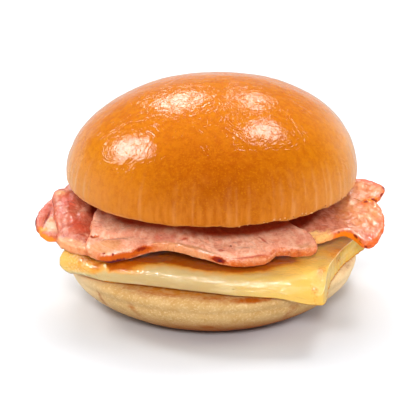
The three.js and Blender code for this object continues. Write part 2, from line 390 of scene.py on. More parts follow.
class Relief:
    """Swells, grain and ridges on a surface, whose points move along their normals by noise."""

    GROUP = "surface relief"

    def __init__(self) -> None:
        """Builds the group once, for every piece to use."""
        self.group = group = new_group(self.GROUP, [
            ("Swell size", "NodeSocketFloat", 12.0), ("Swell depth", "NodeSocketFloat", 0.2),
            ("Grain size", "NodeSocketFloat", 2.0), ("Grain depth", "NodeSocketFloat", 0.05),
            ("Grain stretch", "NodeSocketVector", (1.0, 1.0, 1.0)),
            ("Grain turn", "NodeSocketFloat", 0.0), ("Ridge size", "NodeSocketFloat", 1.3),
            ("Ridge depth", "NodeSocketFloat", 0.0), ("Seed", "NodeSocketFloat", 0.0),
            ("Material", "NodeSocketMaterial", None),
        ])
        start = add_node(group, "NodeGroupInput")
        place = add_node(group, "GeometryNodeInputPosition")
        in_mm = add_node(group, "ShaderNodeVectorMath", {0: place, "Scale": 1 / MM},
                         operation="SCALE")
        turned = add_node(group, "ShaderNodeVectorRotate",
                          {"Vector": in_mm, "Angle": start.outputs["Grain turn"]},
                          rotation_type="Z_AXIS")
        stretched = add_node(group, "ShaderNodeVectorMath",
                             {0: turned, 1: start.outputs["Grain stretch"]}, operation="DIVIDE")
        depth = add_node(group, "GeometryNodeInputNamedAttribute", {"Name": "depth"},
                         data_type="FLOAT")
        swell = self._wave(in_mm, start, "Swell")
        grain = self._wave(stretched, start, "Grain")
        ridge = self._wave(along_rim(group, depth, in_mm), start, "Ridge")
        near_rim = add_node(group, "ShaderNodeMapRange",
                            {"Value": depth, "From Min": 3.0, "From Max": 10.0,
                             "To Min": 1.0, "To Max": 0.15}, interpolation_type="SMOOTHSTEP")
        faint = add_node(group, "ShaderNodeMath", {0: ridge, 1: near_rim}, operation="MULTIPLY")
        two = add_node(group, "ShaderNodeMath", {0: swell, 1: grain}, operation="ADD")
        three = add_node(group, "ShaderNodeMath", {0: two, 1: faint}, operation="ADD")
        fade = add_node(group, "GeometryNodeInputNamedAttribute", {"Name": "relief"},
                        data_type="FLOAT")
        faded = add_node(group, "ShaderNodeMath", {0: three, 1: fade}, operation="MULTIPLY")
        normal = add_node(group, "GeometryNodeInputNormal")
        push = add_node(group, "ShaderNodeVectorMath", {0: normal, "Scale": faded},
                        operation="SCALE")
        moved = add_node(group, "GeometryNodeSetPosition",
                         {"Geometry": start.outputs["Geometry"], "Offset": push})
        solid = add_node(group, "GeometryNodeRealizeInstances", {"Geometry": moved})
        dressed = add_node(group, "GeometryNodeSetMaterial",
                           {"Geometry": solid, "Material": start.outputs["Material"]})
        add_node(group, "NodeGroupOutput", {"Geometry": dressed})

    def _wave(self, place: Node, start: Node, name: str) -> Node:
        """A noise pattern of one size and depth, in metres, even about zero.

        Args:
            place: the node that gives the position in mm.
            start: the group's input node.
            name: the first word of its size and depth inputs.

        Returns:
            The node that gives the height.
        """
        often = add_node(self.group, "ShaderNodeMath", {0: 1.0, 1: start.outputs[f"{name} size"]},
                         operation="DIVIDE")
        noise = add_node(self.group, "ShaderNodeTexNoise",
                         {"Vector": place, "W": start.outputs["Seed"], "Scale": often,
                          "Detail": 1.5, "Roughness": 0.5, "Distortion": 0.6},
                         noise_dimensions="4D")
        even = add_node(self.group, "ShaderNodeMath", {0: noise, 1: 0.5}, operation="SUBTRACT")
        deep = add_node(self.group, "ShaderNodeMath", {0: even, 1: start.outputs[f"{name} depth"]},
                        operation="MULTIPLY")
        return add_node(self.group, "ShaderNodeMath", {0: deep, 1: 2 * MM}, operation="MULTIPLY")

    def carve(self, shell: Object, material: Material, seed: float,
              swell: tuple[float, float], grain: tuple[float, float],
              stretch: tuple[float, float, float] = (1, 1, 1), turn: float = 0,
              ridge: tuple[float, float] = (1.3, 0)) -> Object:
        """Replaces a smooth shell by one with relief and a material.

        Args:
            shell: the smooth shell, which is deleted.
            material: the finish of the result.
            seed: picks the pattern.
            swell: size and depth of the broad pattern, in mm.
            grain: size and depth of the fine pattern, in mm.
            stretch: how much longer the grain is along each of its axes.
            turn: how far the grain is turned about Z, in degrees.
            ridge: spacing and depth of the ridges that run along the rim, in mm.

        Returns:
            The finished piece.
        """
        name = shell.name
        shell.name = f"{name}_smooth"
        values = {"Swell size": swell[0], "Swell depth": swell[1], "Grain size": grain[0],
                  "Grain depth": grain[1], "Grain stretch": stretch,
                  "Grain turn": math.radians(turn), "Ridge size": ridge[0],
                  "Ridge depth": ridge[1], "Seed": seed}
        piece = through_nodes(shell, self.group, values, name, material)
        bpy.data.objects.remove(shell)
        return piece


class Scatter:
    """Small flat flecks spread over a surface where one of its attributes is high."""

    GROUP = "scattered flecks"

    def __init__(self) -> None:
        """Builds the group once, for every kind of fleck to use."""
        self.group = group = new_group(self.GROUP, [
            ("Spacing", "NodeSocketFloat", 1.0), ("Smallest", "NodeSocketFloat", 0.2),
            ("Largest", "NodeSocketFloat", 0.5), ("Flatness", "NodeSocketVector", (1.0, 0.7, 0.3)),
            ("Where", "NodeSocketString", ""), ("Seed", "NodeSocketInt", 0),
            ("Material", "NodeSocketMaterial", None),
        ])
        start = add_node(group, "NodeGroupInput")
        where = add_node(group, "GeometryNodeInputNamedAttribute", {"Name": start.outputs["Where"]},
                         data_type="FLOAT")
        apart = add_node(group, "ShaderNodeMath", {0: start.outputs["Spacing"], 1: MM},
                         operation="MULTIPLY")
        most = add_node(group, "ShaderNodeMath", {0: apart, 1: -2.0}, operation="POWER")
        points = add_node(group, "GeometryNodeDistributePointsOnFaces",
                          {"Mesh": start.outputs["Geometry"], "Distance Min": apart,
                           "Density Max": most, "Density Factor": where,
                           "Seed": start.outputs["Seed"]}, distribute_method="POISSON")
        size = add_node(group, "FunctionNodeRandomValue",
                        {2: start.outputs["Smallest"], 3: start.outputs["Largest"],
                         "Seed": start.outputs["Seed"]}, data_type="FLOAT")
        spin = add_node(group, "FunctionNodeRandomValue", {2: 0.0, 3: TURN}, data_type="FLOAT")
        about = add_node(group, "ShaderNodeCombineXYZ", {"Z": spin.outputs[1]})
        turned = add_node(group, "FunctionNodeRotateEuler",
                          {"Rotation": points.outputs["Rotation"], "Rotate By": about},
                          space="LOCAL")
        flecks = add_node(group, "GeometryNodeInstanceOnPoints",
                          {"Points": points, "Instance": self._fleck(start), "Rotation": turned,
                           "Scale": size.outputs[1]})
        solid = add_node(group, "GeometryNodeRealizeInstances", {"Geometry": flecks})
        smooth = add_node(group, "GeometryNodeSetShadeSmooth", {"Geometry": solid})
        dressed = add_node(group, "GeometryNodeSetMaterial",
                           {"Geometry": smooth, "Material": start.outputs["Material"]})
        add_node(group, "NodeGroupOutput", {"Geometry": dressed})

    def _fleck(self, start: Node) -> Node:
        """A lumpy, flattened blob, 1 mm in radius before it is scaled.

        Args:
            start: the group's input node.

        Returns:
            The node that gives the blob.
        """
        blob = add_node(self.group, "GeometryNodeMeshIcoSphere", {"Radius": MM, "Subdivisions": 2})
        place = add_node(self.group, "GeometryNodeInputPosition")
        lumps = add_node(self.group, "ShaderNodeTexNoise", {"Vector": place, "Scale": 0.9 / MM})
        push = add_node(self.group, "ShaderNodeVectorMath", {0: place, "Scale": lumps},
                        operation="SCALE")
        lumpy = add_node(self.group, "GeometryNodeSetPosition", {"Geometry": blob, "Offset": push})
        return add_node(self.group, "GeometryNodeTransform",
                        {"Geometry": lumpy, "Scale": start.outputs["Flatness"]})

    def strew(self, over: Object, name: str, material: Material, where: str,
              spacing: float, sizes: tuple[float, float], flatness: tuple[float, float, float],
              seed: int) -> Object:
        """Strews flecks over a piece.

        Args:
            over: the piece that they lie on.
            name: the new piece's name.
            material: the flecks' finish.
            where: the attribute that says how densely they lie.
            spacing: the least distance between two, in mm.
            sizes: the smallest and largest radius, in mm.
            flatness: length, width and height as shares of that radius.
            seed: fixes the draw.

        Returns:
            The new piece, all flecks in one mesh.
        """
        values = {"Spacing": spacing, "Smallest": sizes[0], "Largest": sizes[1],
                  "Flatness": flatness, "Where": where, "Seed": seed}
        return through_nodes(over, self.group, values, name, material)


class Blend(Enum):
    """How a colour is laid over another, as Blender names it."""

    COVER = "MIX"
    STAIN = "MULTIPLY"


@dataclass(frozen=True)
class Coat:
    """A colour laid over others.

    Attributes:
        cover: how much of it shows, from 0 to 1, as a node, a socket or a number.
        colour: a hex value or a socket.
        blend: how it is laid on.
    """

    cover: Value
    colour: str | NodeSocket
    blend: Blend = Blend.COVER


class Pattern:
    """A material's node tree with the few patterns that all the food's surfaces share.

    Attributes:
        tree: the material's node tree.
        place: the node that gives object coordinates, in mm.
        held: for each mesh attribute that the material reads, the socket of its value.
    """

    def __init__(self, name: str, held: Sequence[str] = ()) -> None:
        """Starts a material.

        Args:
            name: what the real material is.
            held: the mesh attributes that it reads.
        """
        self.material = bpy.data.materials.new(name)
        self.material.use_nodes = True
        self.tree = self.material.node_tree
        self.tree.nodes.clear()
        coordinates = add_node(self.tree, "ShaderNodeTexCoord")
        self.place = add_node(self.tree, "ShaderNodeVectorMath",
                              {0: coordinates.outputs["Object"], "Scale": 1 / MM},
                              operation="SCALE")
        self.held = {label: add_node(self.tree, "ShaderNodeAttribute",
                                     attribute_name=label).outputs["Fac"] for label in held}

    def noise(self, size: float, detail: float = 2, stretch: tuple[float, float, float] = (1, 1, 1),
              turn: float = 0, shift: float = 0, roughness: float = 0.5,
              swirl: float = 0) -> Node:
        """Soft noise whose patches are about size mm across, from 0 to 1.

        Args:
            size: the patches' size, in mm.
            detail: how many finer layers it has.
            stretch: how much longer the patches are along each axis.
            turn: how far they are turned about Z, in degrees.
            shift: moves the pattern, so that two of one size differ.
            roughness: how strong the finer layers are.
            swirl: how far the patches are drawn out into curls.

        Returns:
            The noise.
        """
        turned = add_node(self.tree, "ShaderNodeMapping",
                          {"Vector": self.place, "Rotation": (0, 0, math.radians(turn)),
                           "Location": (shift, shift, shift)})
        scaled = add_node(self.tree, "ShaderNodeVectorMath",
                          {0: turned, 1: tuple(1 / (size * s) for s in stretch)},
                          operation="MULTIPLY")
        return add_node(self.tree, "ShaderNodeTexNoise",
                        {"Vector": scaled, "Scale": 1.0, "Detail": detail, "Roughness": roughness,
                         "Distortion": swirl})

    def ridges(self, spacing: float) -> Node:
        """Lines that follow a slice's rim, from 0 to 1.

        Args:
            spacing: the distance between two lines, in mm.

        Returns:
            The lines.
        """
        place = along_rim(self.tree, self.held["depth"], self.place)
        return add_node(self.tree, "ShaderNodeTexNoise",
                        {"Vector": place, "Scale": 1 / spacing, "Detail": 2.0})

    def share(self, value: Value, start: float, end: float, low: float = 0, high: float = 1,
              within: Value | None = None) -> Node:
        """How far a value has gone from start to end, smoothly, and if need be only within an area.

        Args:
            value: what is measured.
            start: the value that gives low.
            end: the value that gives high.
            low: the result at start and before.
            high: the result at end and beyond.
            within: the area, as a share by which the result is multiplied.

        Returns:
            The result.
        """
        gone = add_node(self.tree, "ShaderNodeMapRange",
                        {"Value": value, "From Min": start, "From Max": end, "To Min": low,
                         "To Max": high}, interpolation_type="SMOOTHSTEP")
        if within is None:
            return gone
        return add_node(self.tree, "ShaderNodeMath", {0: within, 1: gone}, operation="MULTIPLY",
                        use_clamp=True)

    def frayed(self, value: Value, size: float, by: float, shift: float = 0,
               roughness: float = 0.5) -> Node:
        """A value made uneven, so that an edge that is drawn from it frays.

        Args:
            value: the even value.
            size: the size of the unevenness on the surface, in mm.
            by: how far apart it moves the value at most.
            shift: moves the pattern.
            roughness: how strong its finer layers are.

        Returns:
            The uneven value.
        """
        noise = self.noise(size, 3, shift=shift, roughness=roughness)
        moved = add_node(self.tree, "ShaderNodeMath", {0: noise, 1: by, 2: -by / 2},
                         operation="MULTIPLY_ADD")
        return add_node(self.tree, "ShaderNodeMath", {0: moved, 1: value}, operation="ADD")

    def patch(self, name: str, size: float, ragged: float = 0.8, soft: float = 0.15,
              shift: float = 0, strength: float = 1) -> Node:
        """Where an attribute is high: strength there, and an uneven edge, twice soft wide."""
        uneven = self.frayed(self.held[name], size, ragged, shift, roughness=0.6)
        return self.share(uneven, 0.5 - soft, 0.5 + soft, 0, strength)

    def coats(self, base: str | NodeSocket, *coats: Coat) -> NodeSocket:
        """Lays colours over each other.

        Args:
            base: the lowest colour, as a hex value or a socket.
            coats: the colours over it, from the lowest to the uppermost.

        Returns:
            The socket of the finished colour.
        """
        colour = linear(base) if isinstance(base, str) else base
        for coat in coats:
            above = linear(coat.colour) if isinstance(coat.colour, str) else coat.colour
            colour = add_node(self.tree, "ShaderNodeMix", {0: coat.cover, 6: colour, 7: above},
                              data_type="RGBA", blend_type=coat.blend.value).outputs[2]
        return colour

    def relief(self, *layers: tuple[Value, float]) -> Node:
        """Bumps laid over each other.

        Args:
            layers: the pattern and the depth in mm of each layer.

        Returns:
            The bumped normal.
        """
        below = {}
        for value, depth in layers:
            bumped = add_node(self.tree, "ShaderNodeBump",
                              {"Height": value, "Distance": depth * MM, "Strength": 1.0} | below)
            below = {"Normal": bumped}
        return bumped

    def finish(self, inputs: dict[str, Any]) -> Material:
        """Ends the tree in a Principled shader.

        Args:
            inputs: the shader's inputs that aren't left at their defaults.

        Returns:
            The finished material.
        """
        shader = add_node(self.tree, "ShaderNodeBsdfPrincipled", inputs)
        add_node(self.tree, "ShaderNodeOutputMaterial", {"Surface": shader})
        return self.material


@dataclass(frozen=True)
class GlazedCrust:
    """Egg-washed bun crust, baked: a saturated orange-brown skin under a thin gloss.

    The fine wrinkles of the skin break up each reflection, and the crust grows paler
    where it bent down to the tin.
    """

    deep: str = "#a04a02"
    golden: str = "#be6404"
    bright: str = "#d4820a"
    shade: str = "#e6caa0"
    skirt: str = "#cc7826"
    pale: str = "#ecb47c"
    toast: str = "#b07636"
    skirt_heights: tuple[float, float] = (65.0, 46.0)
    mottle: float = 2.2
    freckle: float = 0.7
    streak: float = 1.6
    wrinkle: float = 1.5
    wrinkle_depth: float = 0.09
    pore: float = 0.55
    pore_depth: float = 0.04
    fold_sweep: float = 12
    fold_count: float = 75
    fold_depth: float = 0.045

    def material(self) -> Material:
        """Builds the material.

        Returns:
            The finished material.
        """
        p = Pattern("glazed baked crust", ("baked", "side", "worn", "streak", "cut"))
        height = add_node(p.tree, "ShaderNodeSeparateXYZ", {0: p.place}).outputs["Z"]
        uneven_height = p.frayed(height, 8, 16, shift=31)
        skirt = p.share(uneven_height, *self.skirt_heights)
        mottles = p.noise(self.mottle, 4, roughness=0.7)
        freckles = p.noise(self.freckle, 3, shift=7, roughness=0.7)
        streaks = p.noise(self.streak, 2, stretch=(1, 1, 7), shift=3)
        breaks = p.noise(self.streak, 2, stretch=(1, 1, 5), shift=12)
        colour = p.coats(
            self.golden,
            # Darker on the front of the dome: partly a deeper bake and partly painted shade.
            Coat(p.held["baked"], self.deep),
            # Painted light: brighter towards the top of the dome.
            Coat(p.share(height, 64, 83, 0, 0.3), self.bright),
            # Painted light: brighter on the left and right sides, which face the side lights.
            Coat(p.held["side"], self.bright),
            Coat(p.share(mottles, 0.4, 0.62, 0, 0.6), self.shade, Blend.STAIN),
            Coat(p.share(freckles, 0.5, 0.68, 0, 0.35), self.bright),
            Coat(p.share(streaks, 0.35, 0.65, 0.25, 0.75, within=skirt), self.skirt),
            # Paler towards the far sides of the skirt and on the upper right: partly paler crust,
            # partly painted sheen.
            Coat(p.held["worn"], self.pale),
            Coat(p.share(breaks, 0.3, 0.6, within=p.held["streak"]), self.pale),
            Coat(p.held["cut"], self.toast),
        )
        wrinkles = p.noise(self.wrinkle, 2, shift=11, swirl=1.2)
        pores = p.noise(self.pore, 1, shift=5)
        # The long folds run along the contour lines of a broad noise.
        phase = add_node(p.tree, "ShaderNodeMath",
                         {0: p.noise(self.fold_sweep, 2, shift=41, swirl=0.7), 1: self.fold_count},
                         operation="MULTIPLY")
        waves = add_node(p.tree, "ShaderNodeMath", {0: phase}, operation="SINE")
        folds = p.share(p.noise(7, 2, shift=51), 0.4, 0.56, within=waves)
        normal = p.relief((wrinkles, self.wrinkle_depth), (pores, self.pore_depth),
                          (folds, self.fold_depth))
        glazed = p.share(uneven_height, 62, 40, 0.9, 0.4)
        gloss = p.share(p.held["cut"], 0, 1, 1, 0, within=glazed)
        return p.finish({
            "Base Color": colour, "Normal": normal, "Coat Normal": normal,
            "Roughness": 0.6, "Coat Weight": gloss, "Coat Roughness": 0.04, "Coat IOR": 1.55,
            "IOR": 1.4, "Specular IOR Level": 0.05, "Subsurface Weight": 0.1,
            "Subsurface Radius": (1.0, 0.35, 0.05), "Subsurface Scale": 1.2 * MM,
        })


@dataclass(frozen=True)
class Crumb:
    """Loose crumbs of torn crust: small, dry, golden and matte."""

    golden: str = "#a85c1c"
    pale: str = "#dfa060"

    def material(self) -> Material:
        """Builds the material.

        Returns:
            The finished material.
        """
        p = Pattern("torn crust crumbs")
        colour = p.coats(self.golden, Coat(p.share(p.noise(0.7, 1), 0.4, 0.6), self.pale))
        return p.finish({"Base Color": colour, "Roughness": 0.6, "Specular IOR Level": 0.3})


@dataclass(frozen=True)
class PaleCrust:
    """Dry, unglazed underside crust: matte beige with a leathery skin and faint browned arcs."""

    pale: str = "#d0a86e"
    toasted: str = "#c39452"
    brown: str = "#a65004"
    toast: str = "#b8701c"
    rosy: str = "#c08a50"
    painted_side_light: str = "#f6d8a8"
    grain: str = "#e9cb9c"
    leather: float = 1.3
    leather_depth: float = 0.3

    def material(self) -> Material:
        """Builds the material.

        Returns:
            The finished material.
        """
        p = Pattern("pale baked crust", ("side", "under", "brown", "cut"))
        blotches = p.noise(2.2, 3, shift=15)
        cut_face = p.coats(self.toast, Coat(p.share(blotches, 0.42, 0.62), self.rosy))
        dressed = p.coats(
            self.pale,
            Coat(p.share(p.noise(4, 4), 0.4, 0.7, 0, 0.7), self.toasted),
            Coat(p.share(p.noise(0.8, 3, shift=9), 0.5, 0.7, 0, 0.5), self.grain),
            # Painted light: the left and right sides are painted paler and brighter.
            Coat(p.held["side"], self.painted_side_light),
            # Darker and browner towards the bottom, most at the front right: partly browned crust,
            # partly painted shade near the floor.
            Coat(p.held["under"], self.brown),
            # Browned arcs on the side, and the brim under the egg's edge: partly browned crust,
            # partly painted shade under the egg.
            Coat(p.patch("brown", 1.8, 0.9, 0.5, shift=4), self.brown),
            Coat(p.held["cut"], cut_face),
        )
        skin = p.relief((p.noise(self.leather, 4, shift=2, roughness=0.6, swirl=0.8),
                         self.leather_depth))
        return p.finish({
            "Base Color": dressed, "Normal": skin, "Roughness": 0.7,
            "IOR": 1.4, "Specular IOR Level": 0.2, "Subsurface Weight": 0.12,
            "Subsurface Radius": (1.0, 0.6, 0.3), "Subsurface Scale": 1.2 * MM,
        })


@dataclass(frozen=True)
class CookedEgg:
    """Griddled folded egg: pale yellow, moist and slightly see-through, browned where it lay."""

    cream: str = "#c2a874"
    yellow: str = "#dab054"
    golden: str = "#e2940c"
    painted_light_yellow: str = "#f4c45c"
    soaked_and_shaded: str = "#b65604"
    brown: str = "#d07c08"
    pale: str = "#ecdeb4"
    cloud: float = 3
    pore: float = 1.3
    swell: float = 4

    def material(self) -> Material:
        """Builds the material.

        Returns:
            The finished material.
        """
        p = Pattern("griddled egg", ("topside", "tan", "brown", "pale"))
        sideways = add_node(p.tree, "ShaderNodeSeparateXYZ", {0: p.place}).outputs["X"]
        clouds = p.noise(self.cloud, 3, stretch=(3, 2, 0.7))
        stain_and_shade = p.frayed(p.held["tan"], 3, 0.5, shift=17)
        colour = p.coats(
            self.cream,
            Coat(p.share(sideways, -8, 36), self.yellow),
            Coat(p.share(clouds, 0.45, 0.75, 0, 0.25), self.pale),
            # Painted light: brighter yellow on the top towards the right end and on the rolled left
            # end, where the slices above shade it.
            Coat(p.held["topside"], self.painted_light_yellow),
            # Golden and deep orange near the slices' rims: partly fat run onto the egg, partly
            # painted shade under the slices.
            Coat(p.share(stain_and_shade, 0.08, 0.85, 0, 0.85), self.golden),
            Coat(p.share(stain_and_shade, 0.6, 1), self.soaked_and_shaded),
            Coat(p.patch("brown", 0.7, 1.3, 0.3, shift=3), self.brown),
            # A pale line along the cut corner, and painted glints where the pale dabs lie.
            Coat(p.patch("pale", 0.8, 0.7, 0.3, shift=13), self.pale),
        )
        pores = p.noise(self.pore, 1.5, shift=6)
        swells = p.noise(self.swell, 1, shift=16)
        return p.finish({
            "Base Color": colour, "Normal": p.relief((pores, 0.07)),
            "Coat Normal": p.relief((swells, 0.6), (pores, 0.42)), "Roughness": 0.38,
            "Coat Weight": 0.6, "Coat Roughness": 0.06, "IOR": 1.38, "Specular IOR Level": 0.1,
            "Subsurface Weight": 0.35, "Subsurface Radius": (1.0, 0.7, 0.25),
            "Subsurface Scale": 2.0 * MM,
        })


@dataclass(frozen=True)
class CuredBacon:
    """Fried back bacon: pink cured meat with fibres, a rim of fat gone orange, and burnt spots.

    Attributes:
        turn: how far the fibres are turned from +X, in degrees.
        fibre: how thick they are, in mm.
        ridge: the spacing of the pale lines that follow the rim, in mm.
        droplet: the size of the wet film's swells, in mm, coarse enough to show as glints.
    """

    meat: str = "#f8b8a0"
    lean: str = "#ee9c80"
    pale: str = "#fad4c0"
    rose: str = "#c2442c"
    tan: str = "#c46c36"
    crisp: str = "#dc945c"
    fat: str = "#efae78"
    seared: str = "#cc621a"
    amber: str = "#da5e04"
    char: str = "#8a2206"
    plum: str = "#501624"
    shade: str = "#b05a40"
    turn: float = 0
    fibre: float = 0.8
    ridge: float = 1.2
    droplet: float = 1.25

    def material(self) -> Material:
        """Builds the material.

        Returns:
            The finished material.
        """
        p = Pattern("fried back bacon", ("depth", "rim", "fat", "tan", "rose", "amber", "char",
                                         "plum", "pale", "shade"))
        muscles = p.noise(3, 4, stretch=(1, 1.8, 1), roughness=0.6, swirl=0.8)
        fibres = p.noise(self.fibre, 3, stretch=(2.5, 1, 1), turn=self.turn, shift=2)
        lines = p.ridges(self.ridge)
        near_rim = p.share(p.held["depth"], 10, 2)
        crispness = p.noise(2.4, 3, shift=21)
        crisped = p.coats(self.tan, Coat(p.share(crispness, 0.32, 0.72), self.crisp))
        lean = p.coats(
            self.lean,
            Coat(p.share(muscles, 0.4, 0.62), self.meat),
            Coat(p.share(fibres, 0.45, 0.75, 0, 0.35), self.pale),
            Coat(p.share(lines, 0.5, 0.7, 0, 0.3, within=near_rim), self.pale),
            Coat(p.patch("tan", 1.8, 0.8, 0.4, shift=9), crisped),
            Coat(p.patch("rose", 2.6, 0.7, 0.5, shift=8, strength=0.8), self.rose),
            Coat(p.share(p.noise(1.3, 3, shift=14), 0.56, 0.7, 0, 0.25), self.rose),
        )
        marbling = p.noise(1.7, 3, shift=33, roughness=0.65)
        marbled = p.coats(self.fat, Coat(p.share(marbling, 0.48, 0.7, 0, 0.6), self.tan))
        fatty = p.coats(lean, Coat(p.patch("fat", 1.6, 1.0, 0.25, shift=5), marbled))
        veined = p.coats(fatty, Coat(p.share(lines, 0.45, 0.7, 0, 0.25), self.pale))
        specks = p.noise(1.6, 3, shift=25, roughness=0.6)
        crust = p.coats(
            self.seared,
            Coat(p.share(specks, 0.52, 0.7, 0, 0.5), self.char),
            Coat(p.share(p.noise(1.1, 3, shift=27), 0.48, 0.68, 0, 0.7), self.crisp),
        )
        rim = p.patch("rim", 1.3, 1.2, 0.35, shift=1)
        colour = p.coats(
            fatty,
            Coat(p.held["fat"], veined),
            Coat(p.share(p.held["fat"], 0.9, 0.3, 0.2, 0.9, within=rim), crust),
            Coat(p.patch("amber", 1.2, 0.7, 0.3, shift=11), self.amber),
            Coat(p.patch("char", 0.8, 1.0, 0.25, shift=6), self.char),
            Coat(p.patch("plum", 0.9, 0.8, 0.3, shift=7), self.plum),
            # Painted glints, highlights and sheen where the pale dabs lie.
            Coat(p.patch("pale", 1.1, 1.0, 0.35, shift=13), self.pale),
            Coat(p.held["shade"], self.shade, Blend.STAIN),
        )
        wet = p.noise(self.droplet, 1.5, shift=4)
        return p.finish({
            "Base Color": colour, "Normal": p.relief((wet, 0.1)),
            "Coat Normal": p.relief((wet, 0.4)), "Roughness": 0.38,
            "Coat Weight": 0.8, "Coat Roughness": 0.05, "IOR": 1.4, "Specular IOR Level": 0.15,
            "Subsurface Weight": 0.2, "Subsurface Radius": (1.0, 0.4, 0.25),
            "Subsurface Scale": 1.5 * MM,
        })


@dataclass
class Crown:
    """The top half of the bun: a glazed dome, fuller on its right shoulder, over a flat cut.

    Attributes:
        radius: its largest radius, in mm.
        ring: the height of that widest place, in mm.
        rise: how far the dome rises above it, in mm.
        lip: the radius of the rounding between the side and the cut, in mm.
        flute_depth: how deep the flutes of the skirt are, in mm.
        flute_waves: the shortest and longest distance between two flutes, in mm.
        crumb_height: how far the fine teeth of the torn edge stand up, in mm.
        crumb_waves: the shortest and longest distance between two teeth, in mm.
        skirt_heights: where the skirt begins and where it is full, in mm.
        streaks: the bearing and width of each pale streak on the skirt, in degrees.
    """

    radius: float = 52.5
    ring: float = 48.5
    rise: float = 34.35
    lip: float = 3.5
    columns: int = 560
    dome_rows: int = 136
    lip_rows: int = 14
    cut_rows: int = 20
    flute_depth: float = 0.16
    flute_waves: tuple[float, float] = (3.2, 16)
    crumb_height: float = 0.22
    crumb_waves: tuple[float, float] = (1.1, 5)
    skirt_heights: tuple[float, float] = (66, 50)
    streaks: tuple[tuple[float, float], ...] = (
        (-168, 3), (-161, 1.2), (-157, 2), (-148, 1), (-118, 0.6), (-104, 0.8), (-97, 0.5),
        (-84, 1.2), (-81, 0.5), (-76, 0.6), (-66, 0.5), (-63, 0.8), (-58, 1.5), (-52, 0.5),
        (-47, 0.8), (-41, 0.5), (-38, 0.9), (-31, 0.6), (-27, 1.2), (-21, 0.7), (-16, 1.6),
        (-6, 3),
    )

    def _rows(self, dome: Field | float, lip: Field | float, cut: Field | float) -> Field:
        """One value for each row of the mesh, from the top of the dome to the middle of the cut.

        Args:
            dome: the values of the dome's rows, or one for all of them.
            lip: those of the lip's rows.
            cut: those of the cut's rows.

        Returns:
            The values, in one list.
        """
        sizes = (self.dome_rows, self.lip_rows, self.cut_rows - 1)
        return np.concatenate([np.broadcast_to(np.asarray(part, float), size)
                               for part, size in zip((dome, lip, cut), sizes)])

    def _point(self, angle: Field, r: Field, z: Field) -> Field:
        """The crown's surface, for places of its plain profile.

        Args:
            angle: their bearings, in radians.
            r: their radii, in mm.
            z: their heights, in mm.

        Returns:
            The points, in mm.
        """
        up = np.maximum(0, z - self.ring) / self.rise
        swell = np.sin(np.pi * up)
        shoulder = swell * up * bump(np.cos(angle), 1, 0.9)
        lumps = 0.25 * np.sin(3 * angle + 1.1) + 0.18 * np.sin(5 * angle + 4)
        radius = r + r / self.radius * (0.5 * swell + 1.6 * shoulder + lumps * (0.2 + up))
        x = radius * np.cos(angle) + 2 * up * up
        return np.stack([x, radius * np.sin(angle), z + 1.1 * shoulder], -1)

    def _torn(self, angle: Field) -> Field:
        """How far the torn edge of the cut stands up, most of all at the front right.

        Args:
            angle: bearings round the edge, in radians.

        Returns:
            The heights, in mm.
        """
        front_right = bump(np.cos(angle + 0.9), 1, 0.5)
        teeth = np.sin(23 * angle) * np.sin(9 * angle + 2)
        return (0.15 + 0.45 * front_right) * (1 + teeth)

    def build(self, relief: Relief, crust: Material) -> Object:
        """Builds the crown and takes the CAD node's place.

        Args:
            relief: adds the crust's swells.
            crust: the glazed finish.

        Returns:
            The crown.
        """
        dome = np.arange(1, self.dome_rows + 1) / self.dome_rows * QUARTER
        lip = np.arange(1, self.lip_rows + 1) / self.lip_rows * QUARTER
        cut = self.ring - self.lip
        inner = self.radius - self.lip
        shrink = np.arange(1, self.cut_rows) / self.cut_rows
        r = self._rows(self.radius * np.sin(dome), self.radius - self.lip * (1 - np.cos(lip)),
                       inner * (1 - shrink))
        z = self._rows(self.ring + self.rise * np.cos(dome), self.ring - self.lip * np.sin(lip),
                       cut)
        torn = self._rows(0, lip / QUARTER, 0)
        angle = np.arange(self.columns) / self.columns * TURN
        angles, radii = np.meshgrid(angle, r)
        heights = np.repeat(z[:, None], self.columns, 1)
        around = TURN * self.radius
        outside = self._rows(1, 1, 0)[:, None]
        low = ease(*self.skirt_heights, heights)
        skirt = low * outside
        flutes = wobble(self.columns, around, *self.flute_waves, seed=5)
        crumbs = self.crumb_height * wobble(self.columns, around, *self.crumb_waves, seed=6)
        rings = self._point(angles, radii + self.flute_depth * flutes * skirt, heights)
        rings[..., 2] += torn[:, None] * (self._torn(angles) + crumbs)
        fade = self._rows(1, 1 - 0.7 * lip / QUARTER, 0.3)
        cut_face = self._rows(0, ease(1.2, 1.5, lip), 1)
        turned = [np.abs((np.degrees(angles) - at + 180) % 360 - 180) / width
                  for at, width in self.streaks]
        sideways = np.abs(np.cos(angles)) ** 1.5 * outside
        pale = np.exp(-np.min(turned, axis=0) ** 2) * skirt * (0.07 + 0.32 * sideways)
        # The front of the dome is darker: partly a deeper bake and partly painted shade.
        front = bump(np.cos(angles + 1.35), 1, 0.25)
        baked = 0.75 * front * bump(heights, 58, 14) * outside
        low_on_lip = (bump(torn, 0.35, 0.3) * (torn > 0))[:, None]
        # Paler on the upper right and the far sides of the skirt: partly paler crust, partly
        # painted sheen.
        pale_sheen_right = 0.42 * bump(np.cos(angles), 1, 0.12) * ease(80, 60, heights) * outside
        attributes = {
            "relief": fade[:, None], "streak": pale, "baked": baked,
            # side is painted light: the left and right sides are painted brighter.
            "side": 0.85 * sideways * ease(82, 58, heights),
            "crumb": bump(np.cos(angle + 0.95), 1, 0.1) * low_on_lip,
            "worn": np.maximum(0.5 * sideways**3 * low, pale_sheen_right),
            "cut": cut_face[:, None],
        }
        top = self._point(np.zeros(1), np.zeros(1), np.full(1, self.ring + self.rise))[0]
        shell = ring_shell("crown_glazed", rings, (top, (0, 0, cut)), attributes)
        crown = relief.carve(shell, crust, seed=3, swell=(13, 0.35), grain=(2.4, 0.1))
        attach(crown, BODY)
        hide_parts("crown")
        return crown


